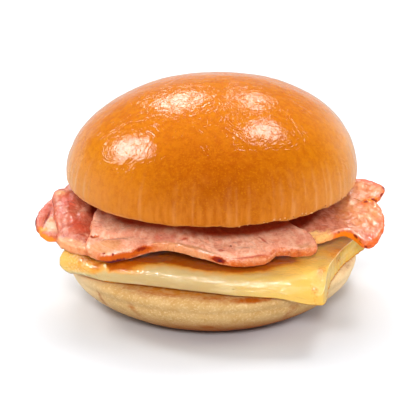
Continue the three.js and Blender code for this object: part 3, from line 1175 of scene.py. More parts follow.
@dataclass
class Heel:
    """The bottom half of the bun: a pale bowl of crust with a flat cut above and a flat base.

    Attributes:
        radius: its largest radius, in mm.
        ring: the height of that widest place, in mm.
        depth: the height of the round side's whole curve, which the flat base cuts off, in mm.
        top: the height of the cut, in mm.
        brim: the width of the rounding between the side and the cut, in mm.
        dabs: the faint browned arcs on the side.
        browned_and_shaded_brim: the brim's stretches under the egg: partly browned crust, partly
            painted shade.
    """

    radius: float = 53.2
    ring: float = 17.2
    depth: float = 21.9
    top: float = 19.5
    brim: float = 3
    columns: int = 380
    side_rows: int = 56
    flat_rows: int = 16
    brim_rows: int = 8
    dabs: tuple[Dab, ...] = paint({
        Mark.BROWN: [
            (-39.5, -33.5, 4.5, 1.4, 35, 0.6), (-28.3, -43.5, 5.0, 1.4, 30, 0.5),
            (-1.6, -46.5, 4.5, 2.0, 0, 0.6), (27.2, -42.0, 4.5, 2.0, -35, 0.5),
        ],
    })
    browned_and_shaded_brim: tuple[Dab, ...] = paint({
        Mark.BROWN: [
            (-16, -45.6, 11, 3, -12, 0.85), (0, -49.3, 8, 2.6, -4, 0.85), (14, -50.6, 10, 2, 6, 1),
            (-27, -41.5, 6, 1.4, -26, 0.6), (49, -18, 2, 9, -18, 0.35),
        ],
    })

    def _radius(self, z: Field) -> Field:
        """The radius of the round side at a height."""
        return self.radius * np.sqrt(1 - ((self.ring - z) / self.depth) ** 2)

    def _point(self, angle: Field, r: Field, z: Field) -> Field:
        """The heel's surface, for places of its plain profile.

        Args:
            angle: their bearings, in radians.
            r: their radii, in mm.
            z: their heights, in mm.

        Returns:
            The points, in mm.
        """
        below = np.clip((self.ring - z) / self.ring, 0, 1)
        crease = 0.6 * bump(z, self.ring - 3, 1.4) * bump(np.sin(angle), -1, 0.8)
        lumps = 0.25 * np.sin(2 * angle + 2.2) + 0.2 * np.sin(5 * angle + 2.4) - 0.75
        radius = r - crease + lumps * np.sin(np.pi * below)
        return np.stack([radius * np.cos(angle), radius * np.sin(angle), z], -1)

    def build(self, relief: Relief, crust: Material) -> Object:
        """Builds the heel and takes the CAD node's place.

        Args:
            relief: adds the crust's leathery swells.
            crust: the pale finish.

        Returns:
            The heel.
        """
        inner = self.radius - self.brim
        share = np.arange(1, self.flat_rows + 1) / self.flat_rows
        around = np.arange(1, self.brim_rows + 1) / self.brim_rows * QUARTER
        down = 1 - np.arange(1, self.side_rows + 1) / self.side_rows
        base = self._radius(np.zeros(1))[0]
        r = np.r_[inner * share, inner + self.brim * np.sin(around), self._radius(down * self.ring),
                  base * (1 - share[:-1])]
        z = np.r_[np.full(len(share), self.top),
                  self.ring + (self.top - self.ring) * np.cos(around), down * self.ring,
                  np.zeros(len(share) - 1)]
        flat = np.r_[np.zeros(len(share)), np.sin(around), np.minimum(1, 6 * down),
                     np.zeros(len(share) - 1)]
        angle = np.arange(self.columns) / self.columns * TURN
        angles, radii = np.meshgrid(angle, r)
        heights = np.repeat(z[:, None], self.columns, 1)
        rings = self._point(angles, radii, heights)
        brown = marked(self.dabs, Mark.BROWN, rings[..., 0], rings[..., 1], heights)
        brim_brown_and_shade = marked(self.browned_and_shaded_brim, Mark.BROWN, rings[..., 0], rings[..., 1], heights)
        # Under the egg's edge the brim is browner: partly browned crust, partly painted shade under
        # the egg.
        brown = np.maximum(brown * ease(18, 13, heights), brim_brown_and_shade * ease(17.5, 18.8, heights))
        cut_face = np.where(radii < inner, ease(19, 19.4, heights), 0)
        front_right = 0.5 + 0.5 * bump(np.cos(angles + 1.2), 1, 0.32)
        attributes = {"relief": flat[:, None], "brown": brown, "cut": cut_face,
                      # Darker and browner towards the bottom, most at the front right: partly
                      # browned crust, partly painted shade near the floor.
                      "under": front_right * ease(12, 3, heights),
                      # Painted light: the left and right sides are painted paler and brighter.
                      "side": 0.8 * ease(0.65, 0.95, np.abs(np.cos(angles)))}
        shell = ring_shell("heel_crust", rings, ((0, 0, self.top), (0, 0, 0)), attributes)
        heel = relief.carve(shell, crust, seed=11, swell=(9, 0.22), grain=(1.8, 0.05))
        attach(heel, BODY)
        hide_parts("heel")
        return heel


@dataclass
class Sheet:
    """A sheet of food between an upper and a lower surface, drawn in from its rim to a centre.

    Attributes:
        name: the finished piece's name.
        outline: its rim seen from above, in mm.
        centre: the place that its rings close in on.
        sharp: corners of the rim.
        coarse: how many points the rim has where other pieces lie on this one.
        columns: how many points each ring of the mesh has.
    """

    name: str
    outline: Outline
    centre: tuple[float, float]
    sharp: Outline = ()
    coarse: int = 50
    columns: int = 340

    def __post_init__(self) -> None:
        """Draws the coarse rim, by which other pieces find this one."""
        self.rim = Rim(self.outline, self.coarse, self.sharp)

    def floor(self, x: Field, y: Field) -> Field:
        """The height of the underside, in mm."""
        raise NotImplementedError

    def top(self, x: Field, y: Field) -> Field:
        """The height of the upper side, in mm."""
        raise NotImplementedError

    def rings(self, insets: Field, rises: Field, fine: Rim) -> tuple[Field, Field]:
        """Points between the two surfaces, ring by ring.

        Args:
            insets: how far each point is drawn in from the rim, in mm, rings by columns.
            rises: its share of the way from the underside to the upper side.
            fine: the rim with one point for each column.

        Returns:
            The points, rings by columns by 3, and how deep inside the rim each one is.
        """
        cx, cy = self.centre
        reach = np.hypot(fine.points[:, 0] - cx, fine.points[:, 1] - cy)
        share = 1 - insets / reach
        x = cx + (fine.points[:, 0] - cx) * share
        y = cy + (fine.points[:, 1] - cy) * share
        low, high = self.floor(x, y), self.top(x, y)
        return np.stack([x, y, low + (high - low) * rises], -1), np.maximum(0, insets)

    def poles(self) -> tuple[Sequence[float], Sequence[float]]:
        """The points above and below the centre, where the rings close."""
        x, y = np.array(self.centre, float)[:, None]
        return (*self.centre, self.top(x, y)[0]), (*self.centre, self.floor(x, y)[0])


@dataclass
class FoldedEgg(Sheet):
    """An egg fried flat and folded into a sleeve: round sides, a rolled left end, a cut right end.

    Attributes:
        end: the cut right end, which closes the outline.
        lowest: the height of the flat underside, in mm.
        height: its thickness, in mm.
        roll: how much thicker the rolled left end is, in mm.
        roundness: how far in from the rim the folds are round, in mm.
        fuller: how much less that is at the left end, in mm.
        droop: how far the front right corner hangs over the bun's edge, in mm.
        groove: how deep the groove between the cut end's two layers is, in mm.
        bun_radius: the radius of the bun under it, in mm.
        past_end: how far the sleeve would go on beyond the cut end, in mm.
        shoulder: how far in from the rim the rows of the upper side lie closer, in mm.
        ragged: how far the cut end is torn in and out, in mm.
        dabs: its marks.
    """

    end: Outline = ()
    lowest: float = 19.85
    height: float = 6.8
    roll: float = 1.7
    roundness: float = 5
    fuller: float = 1.6
    droop: float = 2.6
    groove: float = 0.9
    bun_radius: float = 53.4
    past_end: float = 15
    shoulder: float = 8
    ragged: float = 0.35
    inner_rows: int = 30
    shoulder_rows: int = 24
    side_rows: int = 24
    under_rows: int = 14
    dabs: tuple[Dab, ...] = ()

    def __post_init__(self) -> None:
        """Draws the rim and the longer one that the round sides are measured from."""
        sides = tuple(self.outline)
        self.outline = sides + tuple(self.end)
        self.sharp = (self.end[0], self.end[-1])
        super().__post_init__()
        self.sleeve = Rim(sides + tuple((x + self.past_end, y) for x, y in self.end), self.coarse)

    def floor(self, x: Field, y: Field) -> Field:
        """The underside, which droops over the bun's edge at the front right corner."""
        over = ease(self.bun_radius + 1, self.bun_radius + 8, np.hypot(x, y))
        return self.lowest - self.droop * over * ease(10, 36, x) * ease(5, -30, y)

    def top(self, x: Field, y: Field) -> Field:
        """The upper side, round at the folds and thicker at the rolled left end.

        Args:
            x: the places' x, in mm.
            y: the places' y, in mm.

        Returns:
            The heights, in mm.
        """
        fold = self.roundness - self.fuller * ease(-30, -42, x)
        depth = np.clip(self.sleeve.depth(x, y) / fold, 0, 1)
        edge = 0.34 + 0.26 * ease(-38, -48, x)
        side = edge + (1 - edge) * np.sqrt(1 - (1 - depth) ** 2)
        roll = self.roll * ease(-38, -47, x) * ease(-8, -22, y)
        thinner = 0.6 * ease(20, 45, x)
        swell = 0.35 * np.sin(x / 9 + 1) * np.sin(y / 11 + 2)
        return self.floor(x, y) + side * (self.height + roll - thinner + swell)

    def build(self, relief: Relief, egg: Material, covers: Sequence["BaconSlice"]) -> Object:
        """Builds the egg and takes the CAD node's place.

        Args:
            relief: adds swells and pores.
            egg: the cooked egg's finish.
            covers: the slices of bacon whose fat has run onto it, and whose shade is painted under
                their rims.

        Returns:
            The egg.
        """
        fine = Rim(self.outline, self.columns, self.sharp)
        reach = np.hypot(*(fine.points - self.centre).T)
        shares = np.arange(1, self.inner_rows + 1)[:, None] / (self.inner_rows + 1)
        inner = shares * np.maximum(0, reach - self.shoulder) / reach
        turned = np.linspace(0, QUARTER, self.shoulder_rows + 2)[1:-1, None]
        cut = ease(35, 40, fine.points[:, 0]) * ease(27, 20, fine.points[:, 1])
        lean = 0.5 * cut
        near = lean + (self.shoulder - lean) * (1 - np.sin(turned))
        top_insets = np.vstack([reach * (1 - inner), near])
        rise = np.linspace(1, 0, self.side_rows)[:, None]
        wave = 0.05 * wobble(self.columns, fine.length, 6, 30, seed=5)
        far = ease(-31, -20, fine.points[:, 1])
        between = ease(0.86, 0.7, rise + wave) * ease(0.3, 0.42, rise + wave)
        notch = self.groove * cut * far * between
        tears = self.ragged * cut * wobble(self.columns, fine.length, 1.5, 7, seed=8)
        torn = tears * ease(0.8, 0.5, rise)
        foot = 0.5 * (1 - 1.3 * cut) * (1 - np.sqrt(1 - ease(0.3, 0, rise) ** 2))
        rolled = 3.2 * ease(-36, -48, fine.points[:, 0]) * (1 - np.sqrt(1 - (1 - rise) ** 2))
        edge_insets = lean * rise**0.8 + notch + torn + foot + rolled
        back = np.linspace(0.85, 0.12, self.under_rows)[:, None]
        floor_insets = reach * (1 - back)
        insets = np.vstack([top_insets, edge_insets, floor_insets])
        rises = np.vstack([np.ones_like(top_insets), rise + 0 * reach,
                           np.zeros_like(floor_insets)])
        rings, depth = self.rings(insets, rises, fine)
        x, y = rings[..., 0], rings[..., 1]
        # Golden and deep orange near the slices' rims: partly fat run onto the egg, partly painted
        # shade under the slices.
        soak_and_shade = np.max([ease(-6.4, 0.6, cover.rim.depth(x, y) - 1.2 * ease(-16, -28, x))
                       for cover in covers], axis=0)
        soak_and_shade = soak_and_shade * (1 - 0.65 * ease(-33, -42, x)) * (1 - 0.7 * ease(25, 36, x))
        upper = ease(22.3, 25.3, rings[..., 2] + 1.8 * ease(-36, -42, x))
        brown = np.maximum(marked(self.dabs, Mark.BROWN, x, y, rises), 1.3 * ease(0.09, 0, rises))
        rings[..., 2] += humps(self.dabs, x, y, rises) * ease(22, 24, rings[..., 2])
        bubbly = ease(-33, -40, x) * ease(-22, -28, y)
        at_corner = np.arange(len(insets))[:, None] - len(top_insets)
        corner_line = cut * np.clip(1 - np.abs(at_corner + 0.5) / 1.6, 0, 1)
        attributes = {
            "relief": np.where(rises > 0, 1 + 3 * bubbly, 0.0), "depth": depth, "brown": brown,
            # Painted light: the top towards the right end and the rolled left end are painted
            # brighter.
            "topside": np.maximum(ease(3, 9, depth) * ease(16, 30, x) * (rises == 1),
                                  0.6 * ease(-40, -48, x) * ease(0.1, 0.4, rises)),
            # A pale line along the cut corner, and painted glints and a painted highlight where the
            # pale dabs lie.
            "pale": np.maximum(1.3 * corner_line, marked(self.dabs, Mark.PAINTED_GLINT, x, y, rises)),
            # Partly fat run onto the egg, partly painted shade under the slices' rims.
            "tan": np.maximum(soak_and_shade, marked(self.dabs, Mark.TAN, x, y, rises)) * upper,
        }
        shell = ring_shell(self.name, rings, self.poles(), attributes)
        piece = relief.carve(shell, egg, seed=21, swell=(9, 0.25), grain=(2.2, 0.09))
        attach(piece, BODY)
        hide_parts("egg")
        return piece


@dataclass
class BaconSlice(Sheet):
    """A slice of back bacon that rests on what is under it and elsewhere follows its own slope.

    Attributes:
        slope: the height of its underside where nothing lifts it, in mm.
        supports: the pieces that it lies on.
        node: the CAD node that it replaces.
        thickness: in mm.
        drape_reach: how far outside a support's rim it already rises, in mm.
        dabs: its marks.
        finish: its meat.
        rounding: the radius of its edge, in mm.
        ragged: how far its edge is torn in and out, in mm.
        sear: how far in from the rim it is seared, in mm.
        shaded: the half lengths of the oval under the crown that lies in shade, in mm.
        seed: picks the ragged edge and the relief.
    """

    slope: Height = None
    supports: tuple[Sheet, ...] = ()
    node: str = ""
    thickness: float = 3.2
    drape_reach: float = 6
    dabs: tuple[Dab, ...] = ()
    finish: CuredBacon = CuredBacon()
    rounding: float = 1.1
    ragged: float = 0.42
    sear: float = 1.6
    shaded: tuple[float, float] = (46, 31)
    seed: int = 1
    top_rows: int = 55
    edge_rows: int = 22

    def floor(self, x: Field, y: Field) -> Field:
        """The underside: the slice's own slope, lifted over what it lies on.

        Args:
            x: the places' x, in mm.
            y: the places' y, in mm.

        Returns:
            The heights, in mm.
        """
        own = self.slope(x, y)
        lifts = [ease(-self.drape_reach, -1, support.rim.depth(x, y))
                 * np.maximum(0, support.top(x, y) + GAP - own) for support in self.supports]
        return own + np.max(lifts, axis=0)

    def top(self, x: Field, y: Field) -> Field:
        """The upper side."""
        return self.floor(x, y) + self.thickness

    def build(self, relief: Relief) -> Object:
        """Builds the slice and takes its CAD node's place.

        Args:
            relief: adds the meat's lumps and fibres.

        Returns:
            The slice.
        """
        fine = Rim(self.outline, self.columns, self.sharp)
        tears = self.ragged * wobble(self.columns, fine.length, 1.4, 9, seed=self.seed)
        reach = np.hypot(*(fine.points - self.centre).T)
        shares = np.arange(1, self.top_rows + 1)[:, None] / (self.top_rows + 1)
        top_insets = reach * (1 - shares) + self.rounding * shares
        around = np.linspace(0, np.pi, self.edge_rows)[:, None]
        outward = np.sin(around)
        edge_insets = self.rounding * (1 - outward**0.75) - tears * outward * 0.8
        edge_rises = 0.5 + 0.5 * np.sign(np.cos(around)) * np.abs(np.cos(around)) ** 0.85
        floor_insets = reach * (1 - shares[::-3]) + self.rounding * shares[::-3]
        insets = np.vstack([top_insets, edge_insets, floor_insets])
        rises = np.vstack([np.ones_like(top_insets), edge_rises + 0 * reach,
                           np.zeros_like(floor_insets)])
        rings, depth = self.rings(insets, rises, fine)
        x, y = rings[..., 0], rings[..., 1]
        fat = marked(self.dabs, Mark.FAT, x, y, rises)
        crease = 0.1 * bump(depth, self.rounding + 0.7, 0.6) * (0.4 + 0.6 * fat)
        rings[..., 2] += (humps(self.dabs, x, y, rises) - crease) * rises
        taper = marked(self.dabs, Mark.TAPER, x, y, rises)
        rings[..., 2] += taper * (1 - rises) * ease(5, 1, depth)
        attributes = {"relief": np.where(rises > 0, 1, 0.3), "depth": depth,
                      "rim": ease(self.sear, 0.2, depth) * (0.6 + 0.7 * ease(0.8, 0.1, rises))}
        for mark in (Mark.FAT, Mark.AMBER, Mark.CHAR, Mark.ROSE, Mark.TAN, Mark.PLUM, Mark.PAINTED_GLINT):
            attributes[mark.value] = marked(self.dabs, mark, x, y, rises)
        hidden = ease(1.05, 0.95, np.hypot(x / self.shaded[0], y / self.shaded[1])) * (y < 12)
        attributes["shade"] = np.maximum(hidden, marked(self.dabs, Mark.SHADE, x, y, rises))
        shell = ring_shell(self.name, rings, self.poles(), attributes)
        piece = relief.carve(shell, self.finish.material(), seed=self.seed, swell=(4.5, 0.6),
                             grain=(2.2, 0.2), stretch=(1, 1.3, 1), turn=self.finish.turn,
                             ridge=(1.5, 0.14))
        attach(piece, BODY)
        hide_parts(self.node)
        return piece


@dataclass
class Filling:
    """The folded egg and the four slices of bacon, each lying on those before it."""

    crest: float = 41.1
    softness: float = 1.2

    def __post_init__(self) -> None:
        """Lays the pieces on each other, from the egg up."""
        self.egg = FoldedEgg(
            "egg_folded",
            ((52, 26.5), (20, 36.5), (-20, 46.4), (-29, 46), (-34, 40), (-43, 8), (-50, -15),
             (-53.6, -26), (-51, -30.5), (-39, -35.8), (-25, -39.5), (-11, -43.8), (0, -47),
             (10, -49.6), (24, -51.4), (34, -51.2)),
            (3, -3), coarse=66, columns=460,
            end=((38.4, -50.2), (40.2, -42), (42.2, -34), (47, -20.5), (52, -11), (56.6, -2),
                 (58.4, 11), (57.4, 22)),
            dabs=paint({
                Mark.BROWN: [
                    (-41, -32, 5, 1.6, -18, 0.5), (43.5, -25, 1.8, 9, -20, 0.6),
                    (38, -41, 2, 6, -14, 0.55), (35, -50, 1.6, 1.5, 0, 0.6),
                ],
                Mark.TAN: [
                    (43.5, -22, 7, 13, -20, 0.66), (-44.5, -32, 8, 2.8, -24, 0.9),
                    (35, -50.5, 3, 2, 0, 0.5), (-40.8, -34.2, 4.6, 2.2, -18, 0.85),
                    (-38.9, -34, 2.2, 1.4, 0, 0.95), (-35.8, -34.8, 1.4, 1.2, 0, 1.1),
                ],
                # Painted glints on the rolled left end and a painted highlight on the crease's tip.
                Mark.PAINTED_GLINT: [(-46.5, -31.5, 8, 2.6, -24, 0.4), (-37.2, -35.3, 0.5, 0.45, -10, 1.2)],
                Mark.BULGE: [(-50.8, -27.5, 3.5, 3.5, 0, 0.5), (-37.3, -35.3, 0.8, 0.8, -10, 0.8)],
                Mark.DENT: [(-35.6, -36, 1.3, 0.8, 60, 0.8)],
            }),
        )
        self.left_end = BaconSlice(
            "bacon_slice_left_end",
            ((-59, 0.8), (-62.1, -5), (-63.4, -10.4), (-61.6, -16.2), (-57.5, -19.4), (-50, -18),
             (-36, -16), (-18, -8), (-4, 10), (-2, 32), (-7, 46), (-17, 49.5), (-27, 47),
             (-37, 47.5), (-44, 40), (-46, 28), (-50.5, 19), (-51, 8)),
            (-40, -2), slope=self._left_end_slope, supports=(self.egg,), node="bacon_left_end",
            dabs=paint({
                Mark.FAT: [(-57, -13.5, 3.2, 5, 20, 1.1)],
                Mark.ROSE: [(-61, -8, 9, 4.5, 77, 0.95)],
                Mark.CHAR: [(-59.2, -9, 6, 0.6, 77, 0.9), (-63.6, -9, 1.3, 6, 0, 0.95)],
                Mark.DENT: [(-59.2, -9, 6, 0.9, 77, 0.7)],
                Mark.AMBER: [(-58.5, -18, 5.5, 2, 12, 1.5, 0.35), (-60.5, -16, 2.5, 1.5, 0, 1)],
                # Painted glints on the left lobe.
                Mark.PAINTED_GLINT: [(-61.2, -8.5, 2.2, 5, 0, 0.42)],
                Mark.PLUM: [(-64, -8, 0.8, 5, 0, 0.7, 0.3)],
                Mark.BULGE: [(-62, -9, 1.6, 5, 0, 0.5)],
            }),
            finish=CuredBacon(meat="#d08068", lean="#bc6048", pale="#d89a82", rose="#bc4630",
                              fat="#e0a884", seared="#cc5a34", amber="#ee8a2a", turn=60),
            sear=1.3, seed=31,
        )
        self.right = BaconSlice(
            "bacon_slice_right",
            ((28, -22.5), (37, -22.5), (45.5, -20), (50, -21), (54.4, -24.6), (58.4, -23.4),
             (61.6, -16.6), (61.6, -9), (59.8, -5.4), (56, -4.2), (60.4, -2.9), (63.2, 2.6),
             (58.5, 6.8), (53.3, 8.4), (49.5, 14), (51, 24), (46, 33), (42, 42), (31, 44),
             (22, 50), (8, 51), (-5, 44), (-8, 28), (-5, 8), (3, -10), (14, -19)),
            (32, 3), sharp=((56, -4.2), (63.2, 2.6)), columns=440, slope=self._right_slope,
            supports=(self.egg, self.left_end), node="bacon_right",
            dabs=paint({
                Mark.TAN: [(54, -9, 9, 13, 0, 1.1), (56, 2, 8, 6, 0, 1)],
                Mark.FAT: [(35, -22.8, 9, 2.8, 8, 1.5)],
                # Painted glare on the upper lobe and painted highlights along the front rim.
                Mark.PAINTED_GLINT: [
                    (55, -1, 5, 3, 20, 0.42), (46, -19.9, 5, 0.6, 5, 0.8, 1),
                    (52, -22, 3, 0.5, -35, 0.7, 1),
                ],
                Mark.AMBER: [
                    (49.5, -21.3, 6.5, 1.5, -18, 1.7, 0.35), (57.4, -4.1, 3, 1.3, 30, 1.3),
                ],
                Mark.CHAR: [
                    (45.6, -20.3, 1, 0.6, 0, 1.1, 0.8), (51, -21.9, 1.2, 0.7, -25, 1.1, 0.75),
                    (53.1, -23.2, 0.8, 0.6, -30, 1, 0.5), (54.6, -24.5, 0.8, 0.6, 0, 1, 0.3),
                    (48.6, -20.9, 0.5, 0.6, 0, 1, 0.7), (30.5, -23.4, 1.4, 0.5, 0, 0.8, 0.95),
                    (55.8, -5.2, 1.0, 0.7, 25, 1.2), (58.6, -3.4, 0.8, 0.6, 25, 1.1),
                    (59.4, -3.2, 0.8, 0.7, 0, 1, 0.6), (61.8, -0.8, 1.6, 0.6, 50, 0.9, 0.8),
                    (58.6, 6.4, 6.5, 0.8, -28, 1.1, 0.8), (63.2, 2.4, 1.2, 1.2, 0, 0.9),
                    (61.6, -16, 0.5, 5, 0, 0.6, 0.4),
                ],
                Mark.ROSE: [
                    (57.2, -4.2, 4, 1.4, 30, 1.4), (58, 5.6, 7, 1.6, -28, 0.9),
                    (58, -23, 3.5, 1.8, -10, 0.8), (61.4, -15, 1.4, 5, 0, 0.6),
                ],
                Mark.TAPER: [(63, -10, 7, 14, 0, 1.7), (63, 4, 7, 6, 0, 2.3)],
                Mark.BULGE: [(57, -4.6, 3, 1.6, 15, 0.6)],
                Mark.DENT: [(54.8, -3.4, 2.6, 0.9, 10, 0.6)],
            }),
            finish=CuredBacon(meat="#d8886c", lean="#bc6448", pale="#f0baa0", rose="#cc4a20",
                              fat="#f8c478", seared="#e0601e", amber="#f07c0a", turn=25),
            sear=2.4, shaded=(42, 28), seed=47,
        )
        self.left = BaconSlice(
            "bacon_slice_left",
            ((-52.6, 3.6), (-53.6, 1), (-56.4, 0.4), (-57.7, -3), (-57, -9), (-56.2, -15),
             (-54.3, -21.7), (-54.8, -26), (-52.6, -29.2), (-44.6, -32.5), (-34, -33), (-20, -29),
             (-10, -18), (-10, -5), (-18, 7), (-32, 13), (-45, 12)),
            (-34, -10), slope=self._left_slope, supports=(self.egg, self.left_end, self.right),
            node="bacon_left",
            dabs=paint({
                Mark.FAT: [(-49.5, -29.8, 8, 2.4, -20, 1.2), (-54.8, -3, 2.4, 2, 0, 0.8)],
                Mark.ROSE: [
                    (-51.5, -7.5, 3, 6, 20, 0.9), (-47.6, -20, 4, 6, 30, 0.85),
                    (-43, -24.5, 2.5, 4, 20, 0.6), (-54, -14, 1.6, 6, 5, 0.5),
                ],
                Mark.SHADE: [(-42, -12.5, 3.2, 7, 0, 1)],
                Mark.CHAR: [
                    # The first dab darkens the valley where this slice meets the front one, as
                    # painted shade; the second darkens the slice's left edge.
                    (-42, -12.5, 1.5, 4, 10, 1), (-57.2, -8, 1.1, 7, 5, 1.1, 0.3),
                    (-54.2, -29.6, 1.4, 0.9, 0, 1, 0.15), (-51, -31.3, 1.2, 0.8, 0, 1, 0.1),
                    (-46.5, -32.9, 2, 0.8, -10, 0.9, 0.1), (-41.2, -30.4, 1.2, 0.9, 0, 0.8),
                ],
                # Painted sheen and a painted glint.
                Mark.PAINTED_GLINT: [(-46, -12, 2.4, 3, 30, 0.5), (-44, -25.5, 1, 2, 30, 0.6)],
                Mark.AMBER: [(-40.5, -30.6, 1.8, 1.4, 0, 1.3)],
                Mark.BULGE: [
                    (-54.6, -3.2, 2, 1.8, 0, 0.7), (-51, -12, 3, 5, 20, 0.5),
                    (-46.5, -26, 5, 1.5, -20, 0.5), (-46, -15, 2.5, 3, 0, 0.4),
                ],
                Mark.DENT: [(-52.6, -25, 2, 1.5, -20, 0.4)],
            }),
            finish=CuredBacon(meat="#c87458", lean="#aa4c32", pale="#e4a88c", fat="#dc9c6c",
                              seared="#c8562e", turn=70),
            sear=0.9, seed=53,
        )
        self.front = BaconSlice(
            "bacon_slice_front",
            ((-42.6, -29), (-43.9, -34), (-42.6, -37.6), (-36.3, -40.4), (-29.4, -38.3),
             (-18, -34.9), (-4, -39.2), (9.7, -42.1), (19.5, -40), (23.4, -36.1), (35, -35.6),
             (36.5, -32), (34.2, -27.5), (27.7, -21.8), (22, -12), (10, -5.5), (-10, -4.5),
             (-30, -7), (-39.6, -13), (-42.6, -22)),
            (-4, -23), columns=440, slope=self._front_slope,
            supports=(self.egg, self.left, self.right), node="bacon_front",
            dabs=paint({
                Mark.FAT: [
                    (-37, -36.5, 6.5, 3, 10, 1.1), (-9, -37.4, 11, 1.7, -14, 1.3),
                    (16, -41.2, 8, 1.2, 8, 0.6), (33, -35, 5, 2, 0, 0.6),
                ],
                Mark.AMBER: [
                    (-32, -39.4, 8, 1.6, 12, 1.8, 0.4), (-24, -36.7, 4, 1.6, 22, 1.5, 0.6),
                    (2, -40.7, 3, 1.3, -12, 1.2, 0.6), (13, -41.3, 9, 1.2, 6, 0.6, 0.3),
                    (31, -35.7, 5, 1.2, 0, 0.5, 0.3), (-41, -30.8, 1.6, 1, 0, 1.2),
                ],
                Mark.TAN: [(14, -41.6, 12, 1.7, 5, 1.1, 0.35), (31, -36, 6, 1.6, 0, 1.1, 0.35)],
                Mark.ROSE: [
                    (-17, -32.5, 6, 2.4, -5, 0.7), (24, -28, 7, 3, 30, 0.45),
                    (-6, -31, 5, 2, 0, 0.5), (-39, -24, 3, 5, 0, 0.4), (2, -29, 12, 3.5, 0, 0.25),
                    (3.2, -38.1, 1.1, 0.6, 0, 1.4), (-9.5, -33.5, 1.4, 0.5, 20, 1.3),
                    (18, -32, 2.6, 0.4, -50, 1.3), (15.5, -40.5, 7, 0.5, 9, 1.5, 0.97),
                    (22, -37.4, 2.4, 0.5, 35, 1.5, 0.97),
                ],
                Mark.SHADE: [(-38.5, -15, 3, 5, 0, 1), (29, -29, 9, 6, 0, 0.32)],
                Mark.CHAR: [
                    (-24.2, -36.8, 3, 1.2, 20, 1, 0.75), (2.2, -40.9, 2.6, 1.1, -12, 1.3, 0.55),
                    (-41.6, -30.6, 0.9, 0.7, 0, 0.8), (-37.2, -39.6, 0.6, 0.5, 0, 1.2, 0.9),
                    (-34.2, -39.8, 0.5, 0.5, 0, 1.1, 0.9), (-12.7, -36.5, 0.6, 0.5, 0, 1.1, 0.9),
                    (6.7, -35.5, 0.6, 0.4),
                ],
                # The dabs at levels 0 and 0.1 darken the bottom of the rim: partly the meat's own
                # dark edge, partly painted contact shade.
                Mark.PLUM: [
                    (2.9, -41, 1, 0.8, 0, 0.9, 0.5), (-26, -37.6, 3.5, 1.2, 20, 0.5, 0.2),
                    (35.8, -34.2, 1.6, 1.6, 0, 1, 0.1), (-32, -39.8, 8, 1.4, 10, 1.1, 0),
                ],
                # Painted highlights along the left border and along the top of the rim.
                Mark.PAINTED_GLINT: [(-41.5, -18, 2, 8, 0, 0.35), (-3, -38.8, 2.4, 0.5, -14, 0.8, 0.95)],
                Mark.DENT: [
                    (-41.3, -30.7, 1.2, 0.9, 0, 0.9), (-36, -31.5, 7, 1.4, 5, 0.5),
                    (-13, -35.5, 9, 4.5, -6, 1.2),
                ],
                Mark.BULGE: [(-34, -35, 8, 2.5, 6, 0.5), (12, -37.5, 7, 2, 8, 0.4)],
                Mark.TAPER: [(-13, -35.5, 9, 4.5, -6, -1.2)],
            }),
            # The front slice's meat is paler than the others': partly its own colour, partly
            # painted light that makes up for the crown's shade over it.
            finish=CuredBacon(meat="#fac2a2", lean="#eea080", fat="#da9868", seared="#c86020",
                              amber="#c6560a", turn=78),
            seed=67,
        )

    @staticmethod
    def _hollow(x: Field, y: Field) -> Field:
        """The hollow behind the front slice's fold, which sags onto the slice below."""
        return 1.6 * bump(x, -34, 9) * bump(y, -20, 6)

    def _left_end_slope(self, x: Field, y: Field) -> Field:
        """The underside of the slice that sticks out furthest at the left.

        Args:
            x: the places' x, in mm.
            y: the places' y, in mm.

        Returns:
            The heights, in mm.
        """
        back_wave = 2.6 * np.sin(x / 4.6 + 1) * ease(22, 44, y)
        tucked_under = 3.5 * ease(-20, -6, x) * ease(0, 14, y)
        heights = [34.2 + 0.33 * y, 38 + 0 * y, 48.5 - 0.42 * y + back_wave]
        return soft_lowest(heights, self.softness) - tucked_under

    def _left_slope(self, x: Field, y: Field) -> Field:
        """The underside of the slice at the left."""
        heights = [38.6 + 0.33 * y - self._hollow(x, y), self.crest + 0 * y, 46.5 - 0.4 * y]
        return soft_lowest(heights, self.softness)

    def _front_slope(self, x: Field, y: Field) -> Field:
        """The underside of the front slice, whose edge rises in one wave left of the middle.

        Args:
            x: the places' x, in mm.
            y: the places' y, in mm.

        Returns:
            The heights, in mm.
        """
        wave = 2.2 * bump(x, -12, 10) + 0.5 * bump(x, -38, 8) - 0.6 * bump(x, 30, 12)
        rise = 27.8 + wave + 0.36 * (y + 41) - self._hollow(x, y)
        return soft_lowest([rise, self.crest + 0 * y], self.softness)

    def _right_slope(self, x: Field, y: Field) -> Field:
        """The underside of the right slice, which arches up from the egg at its front edge.

        Args:
            x: the places' x, in mm.
            y: the places' y, in mm.

        Returns:
            The heights, in mm.
        """
        arch = 1.1 * bump(x, 48, 5) * ease(-8, -20, y)
        back_wave = 2.8 * np.sin(x / 5.2 + 2.5) * ease(20, 42, y)
        heights = [37.1 + 0.4 * y + arch, self.crest + 0 * y, 51 - 0.46 * y + back_wave]
        return soft_lowest(heights, self.softness)

    def build(self, relief: Relief) -> list[Object]:
        """Builds the egg and the slices.

        Args:
            relief: adds each piece's relief.

        Returns:
            The finished pieces.
        """
        egg = self.egg.build(relief, CookedEgg().material(), (self.front, self.right, self.left))
        order = (self.left_end, self.right, self.left, self.front)
        slices = [piece.build(relief) for piece in order]
        return [egg, *slices]


